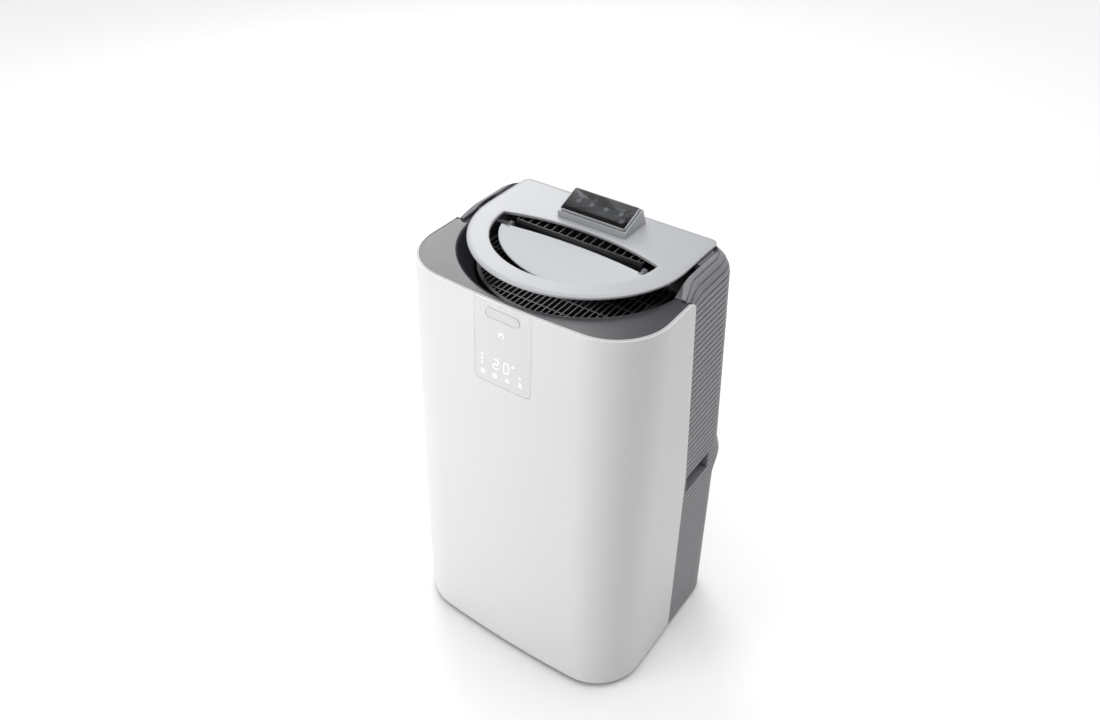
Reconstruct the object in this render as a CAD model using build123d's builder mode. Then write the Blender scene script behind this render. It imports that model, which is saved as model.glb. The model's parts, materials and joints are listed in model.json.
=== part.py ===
"""Portable air conditioner: a floor-standing unit on four castors, in millimetres.

Frame: X to the right, Y to the back, Z up; origin on the floor under the middle of the body.
"""
from build123d import *
from math import cos, radians, sin, sqrt
import os

os.makedirs("parts", exist_ok=True)

# ---- overall body ----
BODY_WIDTH = 440.0            # at mid height
BODY_BOTTOM = 10.0            # lower edge of the shells above the floor
RIM_Z = 737.0                 # upper edge of the front shell
WIDTH_LEAN = 4.75             # half width gained at the bottom and lost at the top
WIDTH_BOW = 0.75
FRONT_MID_Y = -173.5          # front surface on the centre line at mid height
FRONT_LEAN = 13.5
FRONT_BOW_Z = 3.5
FRONT_BOW_X = 12.0            # how far the front bows out between its two sides
FRONT_CORNER = 92.0
REAR_BOTTOM_Y = 177.5
REAR_KNEE_Y = 183.5
REAR_TOP_Y = 157.0
KNEE_Z = 390.0                # height of the break between the lower and upper rear shells
REAR_CORNER = 60.0
GRIP_CORNER = 40.0            # tighter rear corner beside the hand grips
GRIP_LOW_Z, GRIP_MID_Z, GRIP_HIGH_Z = 297.0, 345.0, 384.0
SHELL_WALL = 3.0
SHELL_GAP = 0.3               # between a shell and what it closes on
SEAM = 0.6                    # between two shells that meet edge to edge
REAR_STEP = 1.5               # the ribbed shells lie this far inside the front shell's sides
EDGE_BOTTOM_Y, EDGE_KNEE_Y, EDGE_TOP_Y = 17.0, 27.5, 7.0   # rear edge of the front shell

# ---- ribs and intake grilles ----
RIB_PITCH = 11.0
GROOVE = 2.2
GROOVE_DEPTH = 2.0
GRILLE_SIDE = 74.0            # from the body's side to the grilles
GRILLE_HALF = BODY_WIDTH / 2 - GRILLE_SIDE
UPPER_GRILLE_Z = (KNEE_Z + 38.0, RIM_Z - 45.0)
LOWER_GRILLE_Z = (56.0, 214.0)
GRILLE_CORNER = 8.0
GRILLE_GAP = 0.5
SLOT_MARGIN = 10.0
FILTER_MARGIN = 5.0
FILTER_DEPTH = 3.0
FILTER_FRAME = 7.0
FILTER_BARS = 5
FILTER_BAR = 3.0

# ---- top ----
SHOULDER_R = 36.0
SHOULDER_RISE = 20.0          # above the front shell's rim
SHOULDER_Z = RIM_Z + SHOULDER_RISE
SHOULDER_ANGLES = (0, 22, 44, 66, 82)
SHOULDER_FLAT = 1.0           # left between the round and the flat top
UPPER_LEVELS = (KNEE_Z + 90.0, RIM_Z - 137.0)
PLATE_RISE = 21.0
PLATE_Z = RIM_Z + PLATE_RISE
PLATE_THICK = 5.0
WELL_RIM = 36.0               # from the body's side to the well
WELL_HALF = BODY_WIDTH / 2 - WELL_RIM
PLATE_SIDE = 6.0              # the plate lies this far inside the well's side
PLATE_HALF = WELL_HALF - PLATE_SIDE
PLATE_DEPTH = 170.0           # half-ellipse in front of the plate's centre
PLATE_CENTRE_Y = 43.0
PLATE_BACK_Y = 142.0
PLATE_CORNER = 12.0
PLATE_EDGE = 1.5
PLATE_RING = 40.0             # width of the plate beside its opening
OPENING_HALF = PLATE_HALF - PLATE_RING
OPENING_DEPTH = 121.0
OPENING_CENTRE_Y = 28.0
OPENING_BULGE = 23.0
WELL_DEPTH = 165.0
WELL_CENTRE_Y = 25.0
WELL_BACK_Y = 71.0
WELL_FALL = 39.0
WELL_FLOOR_Z = RIM_Z - WELL_FALL
WELL_TAPER = 26.0
WELL_WALL = 2.5
BEZEL_THICK = 4.5
TRIM_WIDTH = 2.0
TRIM_HEIGHT = 6.0
TRIM_PROUD = 0.8
HATCH_MARGIN = 3.0            # the opening in the top of the rear upper shell is wider than the well
HATCH_HALF = WELL_HALF + HATCH_MARGIN
HATCH_BACK_Y = 142.8
HATCH_CORNER = 30.0
NECK_UNDER = 1.0              # the neck reaches this far under the shoulders
NECK_FRONT_Y, NECK_HALF, NECK_BACK_Y = 74.0, HATCH_HALF + NECK_UNDER, 132.5
NECK_LOW_Z, NECK_TOP_Z, NECK_CORNER = RIM_Z + 6.5, RIM_Z + 14.2, 34.0
NECK_PAD_MARGIN = 24.0
SHOULDER_CURVE = [(-30.0, RIM_Z), (0.0, RIM_Z + 0.5), (14.0, RIM_Z + 11.0), (42.0, RIM_Z + 20.5)]
GRILLE_LEDGE = 6.0
GRILLE_BAR = 2.0
GRILLE_BAR_PITCH = 9.0
GRILLE_BAR_DEPTH = 10.0
GRILLE_RAIL_PITCH = 30.0
VANE_PITCH = 14.0
VANE = 1.6
VANE_END = 25.0               # from the opening's end to the row of vanes
VANE_HALF_SPAN = OPENING_HALF - VANE_END
LOUVRE_DEPTH = 10.0
LOUVRE_CLEAR = 4.5

# ---- airflow flap ----
HINGE_Y, HINGE_Z = 23.0, PLATE_Z - 16.0
FLAP_TILT = 20.0
FLAP_RISE = 8.0               # flap skin above its hinge axis
FLAP_SIDE = 8.0
FLAP_HALF = OPENING_HALF - FLAP_SIDE
FLAP_FRONT = 74.0
FLAP_BACK = 3.0
FLAP_END = 9.0                # how far forward the flap's tips lie
FLAP_DISH_R = 1500.0
FLAP_THICK = 3.5
PIN_R = 3.0
RUNNING_GAP = 0.05
LUG_INNER, LUG_WIDTH, LUG_HALF = OPENING_HALF + 2.0, 7.0, 7.0
EAR_X, EAR_WIDTH, EAR_R = FLAP_HALF - 10.0, 6.0, 6.0
MOTOR_R, MOTOR_LENGTH = 10.0, 20.0

# ---- display ----
PANEL_HALF = 50.8
PANEL_HEIGHT = 141.5
PANEL_LOW_Z = RIM_Z - PANEL_HEIGHT
PANEL_CORNER = 10.0
PANEL_GAP = 0.25
BADGE_LENGTH, BADGE_HEIGHT, BADGE_Z, BADGE_PROUD = 62.0, 18.0, RIM_Z - 19.5, 1.0
BOARD_MARGIN, BOARD_THICK = 7.0, 1.6

# ---- remote control and its dock ----
REMOTE_LENGTH, REMOTE_WIDTH, REMOTE_THICK = 117.0, 47.0, 9.0
REMOTE_TILT = 21.0
REMOTE_FRONT_Y, REMOTE_FRONT_Z = 65.0, PLATE_Z + 14.5
REMOTE_CORNER = 4.0
FACE_RIM, FACE_THICK = 1.2, 1.0
KEY_R, KEY_GAP, KEY_PROUD, KEY_TRAVEL = 4.2, 0.3, 0.3, 0.7
KEY_BELOW_FACE = 1.2
KEY_PLACES = {"power": (-38.0, 24.0), "mode": (-14.0, 24.0), "down": (12.0, 24.0), "up": (38.0, 24.0)}
DOOR_END, DOOR_LENGTH, DOOR_WIDTH, DOOR_THICK, DOOR_GAP = REMOTE_LENGTH / 2, 40.0, 23.0, 1.3, 0.15
DOCK_FRONT_Y, DOCK_BACK_Y, DOCK_LIP = 61.5, 124.0, 4.5
DOCK_SIDE = 3.0
DOCK_GAP = 0.3

# ---- hand grips ----
CUP_Y = (34.0, 112.0)
CUP_Z = (338.0, 378.0)
CUP_DEPTH, CUP_WALL = 30.0, 2.5

# ---- rear fittings ----
EXHAUST_R, EXHAUST_WALL, EXHAUST_Z = 72.0, 6.0, 300.0
EXHAUST_INNER_Y, EXHAUST_OUTER_Y = 140.0, 180.0
DRAIN_X, DRAIN_Z, DRAIN_R, DRAIN_BORE = 130.0, 36.0, 7.0, 5.0
DRAIN_CUP_R, DRAIN_CUP_DEPTH, DRAIN_CUP_WALL = 14.0, 22.0, 2.0
DRAIN_CAP_R, DRAIN_CAP_END, DRAIN_SPIGOT = 9.5, 2.5, 14.0
CORD_X, CORD_Z, CORD_R, GLAND_R, GLAND_FLANGE_R = -130.0, 36.0, 4.6, 9.0, 12.0
GLAND_LENGTH, GLAND_FLANGE = 16.0, 2.5
SCREW_R, SCREW_HEAD_R, SCREW_HEAD, SCREW_LENGTH = 2.0, 4.2, 1.8, 12.0
SCREW_X, SCREW_GAP = GRILLE_HALF + 6.0, 0.2
SCREW_RIBS_LOW, SCREW_RIBS_HIGH = (-15, -2), (2, 29)   # ribs that carry a screw, counted from the knee

# ---- base and castors ----
PAN_Z, PAN_FLOOR, PAN_WALL_TOP = 12.0, 3.0, 40.0
PAN_WALL = 2.5
CASTOR_SIDE = 70.0            # from the body's side to the castors
CASTOR_X, CASTOR_FRONT_Y, CASTOR_REAR_Y = BODY_WIDTH / 2 - CASTOR_SIDE, -110.0, 112.0
WHEEL_R, WHEEL_WIDTH, CASTOR_TRAIL = 20.0, 14.0, 11.0
POCKET_R, POCKET_WALL, POCKET_ROOF_Z = 36.0, 2.5, 48.0
STEM_R, STEM_BOSS_R, STEM_TOP_Z = 5.0, 10.0, 66.0
AXLE_R, WHEEL_SIDE_GAP, CHEEK, TREAD_ROUND = 2.5, 0.4, 2.8, 3.0
FORK_HALF, CROWN, FORK_END_R, STEM_SHY = 15.0, 6.0, 7.0, 2.0
THRUST_GAP = 0.3

# ---- machinery ----
DECK_Z, DECK_THICK, DECK_LIP, DECK_LIP_WALL = KNEE_Z - 6.0, 3.0, 12.0, 2.5
COMPRESSOR_X, COMPRESSOR_Y = -75.0, -45.0
COMPRESSOR_R, COMPRESSOR_LOW_Z, COMPRESSOR_HEIGHT, COMPRESSOR_ROUND = 56.0, 42.0, 162.0, 20.0
FOOT_R, FOOT_CIRCLE, FOOT_PLATE = 11.0, 66.0, 4.0
ACCUMULATOR_X, ACCUMULATOR_Y, ACCUMULATOR_R = -135.3, 8.0, 24.0
ACCUMULATOR_Z, ACCUMULATOR_HEIGHT = 70.0, 112.0
COIL_SIDE = 70.0              # from the body's side to the coils
COIL_HALF, COIL_THICK = BODY_WIDTH / 2 - COIL_SIDE, 30.0
COIL_FIN_PITCH, COIL_FIN = 12.0, 6.0
CONDENSER_Y, CONDENSER_TOP_Z = 108.0, 212.0
EVAPORATOR_Y, EVAPORATOR_TOP_Z = 100.0, RIM_Z - 47.0
CONDENSER_FAN = {"y": 20.0, "z": EXHAUST_Z, "wheel": 62.0, "width": 60.0, "case": 80.0, "case_width": 80.0}
EVAPORATOR_FAN = {"y": -22.0, "z": RIM_Z - 197.0, "wheel": 76.0, "width": 140.0, "case": 96.0, "case_width": 164.0}
CASE_WALL, FAN_INLET_R, FAN_BLADES, BLADE_DEPTH, BLADE_THICK = 2.5, 30.0, 24, 12.0, 2.0
SHAFT_R, HUB_R, HUB_DISC = 5.0, 14.0, 4.0
FAN_MOTOR_R, FAN_MOTOR_LENGTH = 40.0, 56.0
DUCT_Y = (-100.0, 0.0)
ADAPTER_HALF, ADAPTER_START_Y = EXHAUST_R + EXHAUST_WALL + 1.0, 100.0
HANGER_Y = (0.0, 40.0)
PEDESTAL_HALF, PEDESTAL_Y = 60.0, (-50.0, 10.0)
PIPE_R, PIPE_BEND, PIPE_GAP = 4.0, 14.0, 0.3
DISCHARGE_Z, DISCHARGE_X, SUCTION_Z = 236.0, -122.0, DECK_Z + 46.0
BOX_X = (30.0 - BODY_WIDTH / 2, 112.0 - BODY_WIDTH / 2)
BOX_Y, BOX_TOP_Z, BOX_ROUND = (-104.0, -44.0), 600.0, 6.0
ADAPTER_Z = (EXHAUST_Z - EXHAUST_R - EXHAUST_WALL, EXHAUST_Z + EXHAUST_R + EXHAUST_WALL)
PIPE_TOP_Y, PIPE_DROP_Z = 70.0, 190.0
DISCHARGE_PIPE = [(COMPRESSOR_X, COMPRESSOR_Y, COMPRESSOR_LOW_Z + COMPRESSOR_HEIGHT),
                  (COMPRESSOR_X, COMPRESSOR_Y, DISCHARGE_Z), (DISCHARGE_X, COMPRESSOR_Y, DISCHARGE_Z),
                  (DISCHARGE_X, PIPE_TOP_Y, DISCHARGE_Z), (DISCHARGE_X, PIPE_TOP_Y, PIPE_DROP_Z),
                  (DISCHARGE_X, CONDENSER_Y, PIPE_DROP_Z)]
SUCTION_PIPE = [(ACCUMULATOR_X, ACCUMULATOR_Y, ACCUMULATOR_Z + ACCUMULATOR_HEIGHT),
                (ACCUMULATOR_X, ACCUMULATOR_Y, SUCTION_Z), (ACCUMULATOR_X, EVAPORATOR_Y, SUCTION_Z)]

MID_Z = (BODY_BOTTOM + RIM_Z) / 2
HALF_SPAN_Z = (RIM_Z - BODY_BOTTOM) / 2
LOWER_LEVELS = (130.0, 250.0)
LEVELS = [BODY_BOTTOM, *LOWER_LEVELS, GRIP_LOW_Z, GRIP_MID_Z, GRIP_HIGH_Z, KNEE_Z, *UPPER_LEVELS, RIM_Z]
CUT = 1000.0                  # larger than the whole object
UPRIGHT = (Align.CENTER, Align.CENTER, Align.MIN)


def half_width(z):
    """Half width of the body at height z: a slight taper with a bow."""
    t = (z - MID_Z) / HALF_SPAN_Z
    return BODY_WIDTH / 2 - WIDTH_LEAN * t - WIDTH_BOW * t * t


def front_y(z):
    """Foremost point at height z: the front leans back towards the top."""
    t = (z - MID_Z) / HALF_SPAN_Z
    return FRONT_MID_Y + FRONT_LEAN * t + FRONT_BOW_Z * t * t


def rear_y(z):
    """Rearmost point at height z: straight up to the knee, then leaning forwards."""
    if z < KNEE_Z:
        return REAR_BOTTOM_Y + (REAR_KNEE_Y - REAR_BOTTOM_Y) * (z - BODY_BOTTOM) / (KNEE_Z - BODY_BOTTOM)
    return REAR_KNEE_Y + (REAR_TOP_Y - REAR_KNEE_Y) * (z - KNEE_Z) / (PLATE_Z - KNEE_Z)


def rear_corner(z):
    """Plan radius of the rear corners, tighter where the hand grips are."""
    if GRIP_LOW_Z < z < GRIP_HIGH_Z:
        reach = GRIP_MID_Z - GRIP_LOW_Z if z < GRIP_MID_Z else GRIP_HIGH_Z - GRIP_MID_Z
        return GRIP_CORNER + (REAR_CORNER - GRIP_CORNER) * abs(z - GRIP_MID_Z) / reach
    return REAR_CORNER


def body_outline(z, inset=0.0, step=0.0):
    """Plan of the body at height z: bowed front, straight sides, flat back, four round corners."""
    half = half_width(z) - inset - step
    front, rear = front_y(z) + inset, rear_y(z) - inset
    with BuildSketch(Plane.XY.offset(z)) as outline:
        with BuildLine():
            ThreePointArc((-half, front + FRONT_BOW_X), (0, front), (half, front + FRONT_BOW_X))
            Polyline((half, front + FRONT_BOW_X), (half, rear), (-half, rear), (-half, front + FRONT_BOW_X))
        make_face()
        fillet(outline.vertices().group_by(Axis.Y)[-1], rear_corner(z) - inset)
        fillet(outline.vertices().group_by(Axis.Y)[0], FRONT_CORNER - inset)
    return outline.sketch.face()


def body_core(inset=0.0, step=0.0, low=BODY_BOTTOM, high=RIM_Z):
    """The solid body drawn in by inset between two heights."""
    heights = [low] + [z for z in LEVELS if low < z < high] + [high]
    with BuildPart() as core:
        loft([body_outline(z, inset, step) for z in heights], ruled=True)
    return core.part


def shoulder_core(inset=0.0, step=REAR_STEP, low=KNEE_Z):
    """The upper body with its rounded shoulders, drawn in by inset."""
    start = SHOULDER_Z - SHOULDER_R
    reach = SHOULDER_R - inset
    rounds = [(start + reach * sin(radians(a)), inset + reach * (1 - cos(radians(a))))
              for a in SHOULDER_ANGLES]
    rounds.append((SHOULDER_Z - inset, SHOULDER_R - SHOULDER_FLAT))
    straight = [(z, inset) for z in (low, *UPPER_LEVELS)]
    with BuildPart() as core:
        loft([body_outline(z, drawn, step) for z, drawn in straight + rounds], ruled=True)
    return core.part


def edge_prism(shift, behind):
    """Everything in front of the front shell's rear edge moved back by shift, or all behind it."""
    far = CUT if behind else -CUT
    with BuildPart() as prism:
        with BuildSketch(Plane.YZ) as side:
            with BuildLine():
                Polyline((far, -CUT), (EDGE_BOTTOM_Y + shift, -CUT), (EDGE_BOTTOM_Y + shift, BODY_BOTTOM),
                         (EDGE_KNEE_Y + shift, KNEE_Z), (EDGE_TOP_Y + shift, RIM_Z),
                         (EDGE_TOP_Y + shift, CUT), (far, CUT), close=True)
            make_face()
        extrude(amount=CUT, both=True)
    return prism.part


def finish(builder, name):
    """Label a finished piece and write it out."""
    builder.part.label = name
    export_step(builder.part, f"parts/{name}.step")


def oval(half, depth, centre_y, back_y, back_corner=0.0):
    """A plan shape: half-ellipse in front of centre_y and straight sides back to back_y."""
    with BuildSketch() as shape:
        with BuildLine():
            EllipticalCenterArc((0, centre_y), half, depth, start_angle=180, arc_size=180)
            Polyline((half, centre_y), (half, back_y), (-half, back_y), (-half, centre_y))
        make_face()
        if back_corner:
            fillet(shape.vertices().group_by(Axis.Y)[-1], back_corner)
    return shape.sketch.face()


def front_window(half, low):
    """A prism through the front wall, open at the top, with round lower corners."""
    with BuildPart() as window:
        with BuildSketch(Plane.XZ) as face:
            add(block(-half, half, low, RIM_Z + SHELL_WALL))
            fillet(face.vertices().group_by(Axis.Y)[0], PANEL_CORNER)
        extrude(amount=CUT)
    return window.part


def rear_window(half, span, margin=0.0):
    """A prism through the rear wall with round corners."""
    with BuildPart() as window:
        with BuildSketch(Plane.XZ) as face:
            add(block(-half, half, span[0] - margin, span[1] + margin))
            fillet(face.vertices(), GRILLE_CORNER)
        extrude(amount=-CUT)
    return window.part


def block(x0, x1, y0, y1):
    """A rectangle given by its two x and two y limits."""
    with BuildSketch() as shape:
        with Locations(((x0 + x1) / 2, (y0 + y1) / 2)):
            Rectangle(x1 - x0, y1 - y0)
    return shape.sketch


def solid_block(x0, x1, y0, y1, heights):
    """A box given by its limits in x and y and its pair of heights."""
    with BuildPart() as solid:
        with Locations(((x0 + x1) / 2, (y0 + y1) / 2, heights[0])):
            Box(x1 - x0, y1 - y0, heights[1] - heights[0], align=UPRIGHT)
    return solid.part


def flat_outline(inset):
    """The body's plan at the rim, laid flat on the sketch plane."""
    return Plane.XY.offset(RIM_Z).to_local_coords(body_outline(RIM_Z, inset))


def well_outline(z, half, depth, wall=0.0):
    """Plan of the air well at height z, grown by wall."""
    shape = oval(half + wall, depth + wall, WELL_CENTRE_Y, WELL_BACK_Y + wall)
    return Pos(0, 0, z) * shape


def outlet_opening():
    """The oval opening in the cover plate: half-ellipse in front, shallow arc behind."""
    with BuildSketch() as shape:
        with BuildLine():
            EllipticalCenterArc((0, OPENING_CENTRE_Y), OPENING_HALF, OPENING_DEPTH,
                                start_angle=180, arc_size=180)
            ThreePointArc((OPENING_HALF, OPENING_CENTRE_Y), (0, OPENING_CENTRE_Y + OPENING_BULGE),
                          (-OPENING_HALF, OPENING_CENTRE_Y))
        make_face()
    return shape.sketch


def rib_heights(low, high):
    """Groove heights on the common pitch, counted from the knee."""
    first = int((low - KNEE_Z) // RIB_PITCH) + 1
    last = int((high - KNEE_Z) // RIB_PITCH)
    return [KNEE_Z + (n + 0.5) * RIB_PITCH for n in range(first, last)]


def grooves(core, low, high):
    """Flat rings that leave the ribs standing between them on the given core."""
    with BuildPart() as rings:
        with Locations(*[(0, 0, z) for z in rib_heights(low, high)]):
            Box(CUT, CUT, GROOVE)
        add(core, mode=Mode.SUBTRACT)
    return rings.part


def shoulder_front(drop):
    """What is cut off the front end of the shoulders: all above an S-curve that rises to the rear."""
    with BuildPart() as cut:
        with BuildSketch(Plane.YZ):
            with BuildLine():
                Spline(*[(y, z - drop) for y, z in SHOULDER_CURVE], tangents=((1, 0), (1, 0)))
                Polyline((SHOULDER_CURVE[-1][0], SHOULDER_CURVE[-1][1] - drop),
                         (SHOULDER_CURVE[-1][0], CUT), (SHOULDER_CURVE[0][0], CUT),
                         (SHOULDER_CURVE[0][0], SHOULDER_CURVE[0][1] - drop))
            make_face()
        extrude(amount=CUT, both=True)
    return cut.part


def screw_set(ribs, gap):
    """Flush pan-head screws on both sides of the back, in the middle of given ribs, grown by gap."""
    with BuildPart() as screws:
        for z in [KNEE_Z + n * RIB_PITCH for n in ribs]:
            seat = rear_y(z) - SCREW_HEAD
            with Locations(*[Location((x, seat, z), (-90, 0, 0)) for x in (-SCREW_X, SCREW_X)]):
                Cylinder(SCREW_HEAD_R + gap, SCREW_HEAD + 2 * gap, align=UPRIGHT)
            with Locations(*[Location((x, seat, z), (90, 0, 0)) for x in (-SCREW_X, SCREW_X)]):
                Cylinder(SCREW_R + gap, SCREW_LENGTH, align=UPRIGHT)
    return screws.part


# ---- front shell, its trim and the display ----
with BuildPart() as front_shell:
    add(body_core())
    add(body_core(SHELL_WALL), mode=Mode.SUBTRACT)
    add(edge_prism(0, True), mode=Mode.SUBTRACT)
    add(front_window(PANEL_HALF + PANEL_GAP, PANEL_LOW_Z - PANEL_GAP), mode=Mode.SUBTRACT)
finish(front_shell, "front_shell")

with BuildPart() as display_panel:
    add(body_core(0, 0, PANEL_LOW_Z - SHELL_WALL))
    add(body_core(SHELL_WALL, 0, PANEL_LOW_Z - SHELL_WALL), mode=Mode.SUBTRACT)
    add(front_window(PANEL_HALF, PANEL_LOW_Z), mode=Mode.INTERSECT)
finish(display_panel, "display_panel")

with BuildPart() as display_board:
    add(body_core(SHELL_WALL + SHELL_GAP, 0, PANEL_LOW_Z))
    add(body_core(SHELL_WALL + SHELL_GAP + BOARD_THICK, 0, PANEL_LOW_Z), mode=Mode.SUBTRACT)
    with BuildSketch(Plane.XZ):
        with Locations((0, (PANEL_LOW_Z + BADGE_Z + BADGE_HEIGHT) / 2)):
            Rectangle(2 * (PANEL_HALF - BOARD_MARGIN),
                      BADGE_Z + BADGE_HEIGHT - PANEL_LOW_Z - 2 * BOARD_MARGIN)
    extrude(amount=CUT, mode=Mode.INTERSECT)
finish(display_board, "display_board")

with BuildPart() as oval_badge:
    add(body_core(-BADGE_PROUD, 0, PANEL_LOW_Z))
    add(body_core(0, 0, PANEL_LOW_Z), mode=Mode.SUBTRACT)
    with BuildSketch(Plane.XZ):
        with Locations((0, BADGE_Z)):
            SlotOverall(BADGE_LENGTH, BADGE_HEIGHT)
    extrude(amount=CUT, mode=Mode.INTERSECT)
finish(oval_badge, "oval_badge")

trim_inset = SHELL_WALL + SHELL_GAP
with BuildPart() as shell_trim:
    with BuildSketch(Plane.XY.offset(RIM_Z + TRIM_PROUD - TRIM_HEIGHT)):
        add(flat_outline(trim_inset))
        add(flat_outline(trim_inset + TRIM_WIDTH), mode=Mode.SUBTRACT)
    extrude(amount=TRIM_HEIGHT)
    add(edge_prism(-SEAM, True), mode=Mode.SUBTRACT)
finish(shell_trim, "shell_trim")

# ---- top bezel with the air well, and what lies in the well ----
bezel_top = RIM_Z - SHELL_GAP
floor_half, floor_depth = WELL_HALF - WELL_TAPER, WELL_DEPTH - WELL_TAPER
with BuildPart() as top_bezel:
    with BuildSketch(Plane.XY.offset(bezel_top - BEZEL_THICK)):
        add(flat_outline(trim_inset + TRIM_WIDTH + SHELL_GAP))
        with Locations((0, EDGE_TOP_Y + CUT / 2)):
            Rectangle(CUT, CUT, mode=Mode.SUBTRACT)
    extrude(amount=BEZEL_THICK)
    loft([well_outline(WELL_FLOOR_Z, floor_half, floor_depth, WELL_WALL),
          well_outline(bezel_top, WELL_HALF, WELL_DEPTH, WELL_WALL)], ruled=True)
    loft([well_outline(WELL_FLOOR_Z, floor_half, floor_depth),
          well_outline(bezel_top, WELL_HALF, WELL_DEPTH)], ruled=True, mode=Mode.SUBTRACT)
    with BuildSketch(Plane.XY.offset(WELL_FLOOR_Z - WELL_WALL)):
        add(oval(floor_half + WELL_WALL, floor_depth + WELL_WALL, WELL_CENTRE_Y, WELL_BACK_Y + WELL_WALL))
        add(oval(floor_half - GRILLE_LEDGE, floor_depth - GRILLE_LEDGE, WELL_CENTRE_Y,
                 WELL_BACK_Y - GRILLE_LEDGE), mode=Mode.SUBTRACT)
    extrude(amount=WELL_WALL)
finish(top_bezel, "top_bezel")

with BuildPart() as outlet_grille:
    with BuildSketch(Plane.XY.offset(WELL_FLOOR_Z + SHELL_GAP)):
        add(oval(floor_half - SHELL_GAP, floor_depth - SHELL_GAP, WELL_CENTRE_Y, WELL_BACK_Y - SHELL_GAP))
        add(oval(floor_half - GRILLE_LEDGE, floor_depth - GRILLE_LEDGE, WELL_CENTRE_Y,
                 WELL_BACK_Y - GRILLE_LEDGE), mode=Mode.SUBTRACT)
    extrude(amount=GRILLE_BAR_DEPTH)
    with BuildSketch(Plane.XY.offset(WELL_FLOOR_Z + SHELL_GAP)):
        with GridLocations(GRILLE_BAR_PITCH, 0, int(2 * floor_half / GRILLE_BAR_PITCH), 1):
            Rectangle(GRILLE_BAR, CUT)
        with GridLocations(0, GRILLE_RAIL_PITCH, 1, int(2 * floor_depth / GRILLE_RAIL_PITCH)):
            Rectangle(CUT, GRILLE_BAR)
        add(oval(floor_half - GRILLE_LEDGE / 2, floor_depth - GRILLE_LEDGE / 2, WELL_CENTRE_Y,
                 WELL_BACK_Y - GRILLE_LEDGE / 2), mode=Mode.INTERSECT)
    extrude(amount=GRILLE_BAR_DEPTH)
finish(outlet_grille, "outlet_grille")

# ---- cover plate and what hangs under it ----
plate_low = PLATE_Z - PLATE_THICK
with BuildPart() as cover_plate:
    with BuildSketch(Plane.XY.offset(plate_low)):
        add(oval(PLATE_HALF, PLATE_DEPTH, PLATE_CENTRE_Y, PLATE_BACK_Y, PLATE_CORNER))
        add(outlet_opening(), mode=Mode.SUBTRACT)
    extrude(amount=PLATE_THICK)
    fillet(cover_plate.edges().group_by(Axis.Z)[-1], PLATE_EDGE)
    with BuildSketch(Plane.YZ):
        with BuildLine():
            Polyline((HINGE_Y - LUG_HALF, plate_low), (HINGE_Y - LUG_HALF, HINGE_Z),
                     (HINGE_Y, HINGE_Z - LUG_HALF), (HINGE_Y + LUG_HALF, HINGE_Z),
                     (HINGE_Y + LUG_HALF, plate_low), close=True)
        make_face()
        with Locations((HINGE_Y, HINGE_Z)):
            Circle(PIN_R + RUNNING_GAP, mode=Mode.SUBTRACT)
    extrude(amount=LUG_INNER + LUG_WIDTH, both=True)
    with Locations((0, HINGE_Y, plate_low - CUT / 2)):
        Box(2 * LUG_INNER, 4 * LUG_HALF, CUT, mode=Mode.SUBTRACT)
finish(cover_plate, "cover_plate")

with BuildPart() as cover_neck:
    with BuildSketch(Plane.XY.offset(NECK_LOW_Z)) as neck_plan:
        add(block(-NECK_HALF, NECK_HALF, NECK_FRONT_Y, NECK_BACK_Y))
        fillet(neck_plan.vertices().group_by(Axis.Y)[-1], NECK_CORNER)
    extrude(amount=NECK_TOP_Z - NECK_LOW_Z)
    with BuildSketch(Plane.XY.offset(NECK_TOP_Z)):
        add(block(-NECK_HALF + NECK_PAD_MARGIN, NECK_HALF - NECK_PAD_MARGIN, NECK_FRONT_Y, NECK_BACK_Y))
    extrude(amount=plate_low - NECK_TOP_Z)
finish(cover_neck, "cover_neck")

louvre_front = HINGE_Y + LOUVRE_CLEAR
louvre_back = OPENING_CENTRE_Y + OPENING_BULGE
with BuildPart() as slot_louvres:
    with BuildSketch(Plane.XY.offset(plate_low - LOUVRE_DEPTH)):
        add(block(-VANE_HALF_SPAN, VANE_HALF_SPAN, louvre_front, louvre_back + VANE))
        add(block(-VANE_HALF_SPAN + VANE, VANE_HALF_SPAN - VANE, louvre_front + VANE, louvre_back),
            mode=Mode.SUBTRACT)
        with Locations((0, (louvre_front + louvre_back) / 2)):
            with GridLocations(VANE_PITCH, 0, int(2 * VANE_HALF_SPAN / VANE_PITCH), 1):
                Rectangle(VANE, louvre_back - louvre_front)
    extrude(amount=LOUVRE_DEPTH)
finish(slot_louvres, "slot_louvres")

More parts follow.
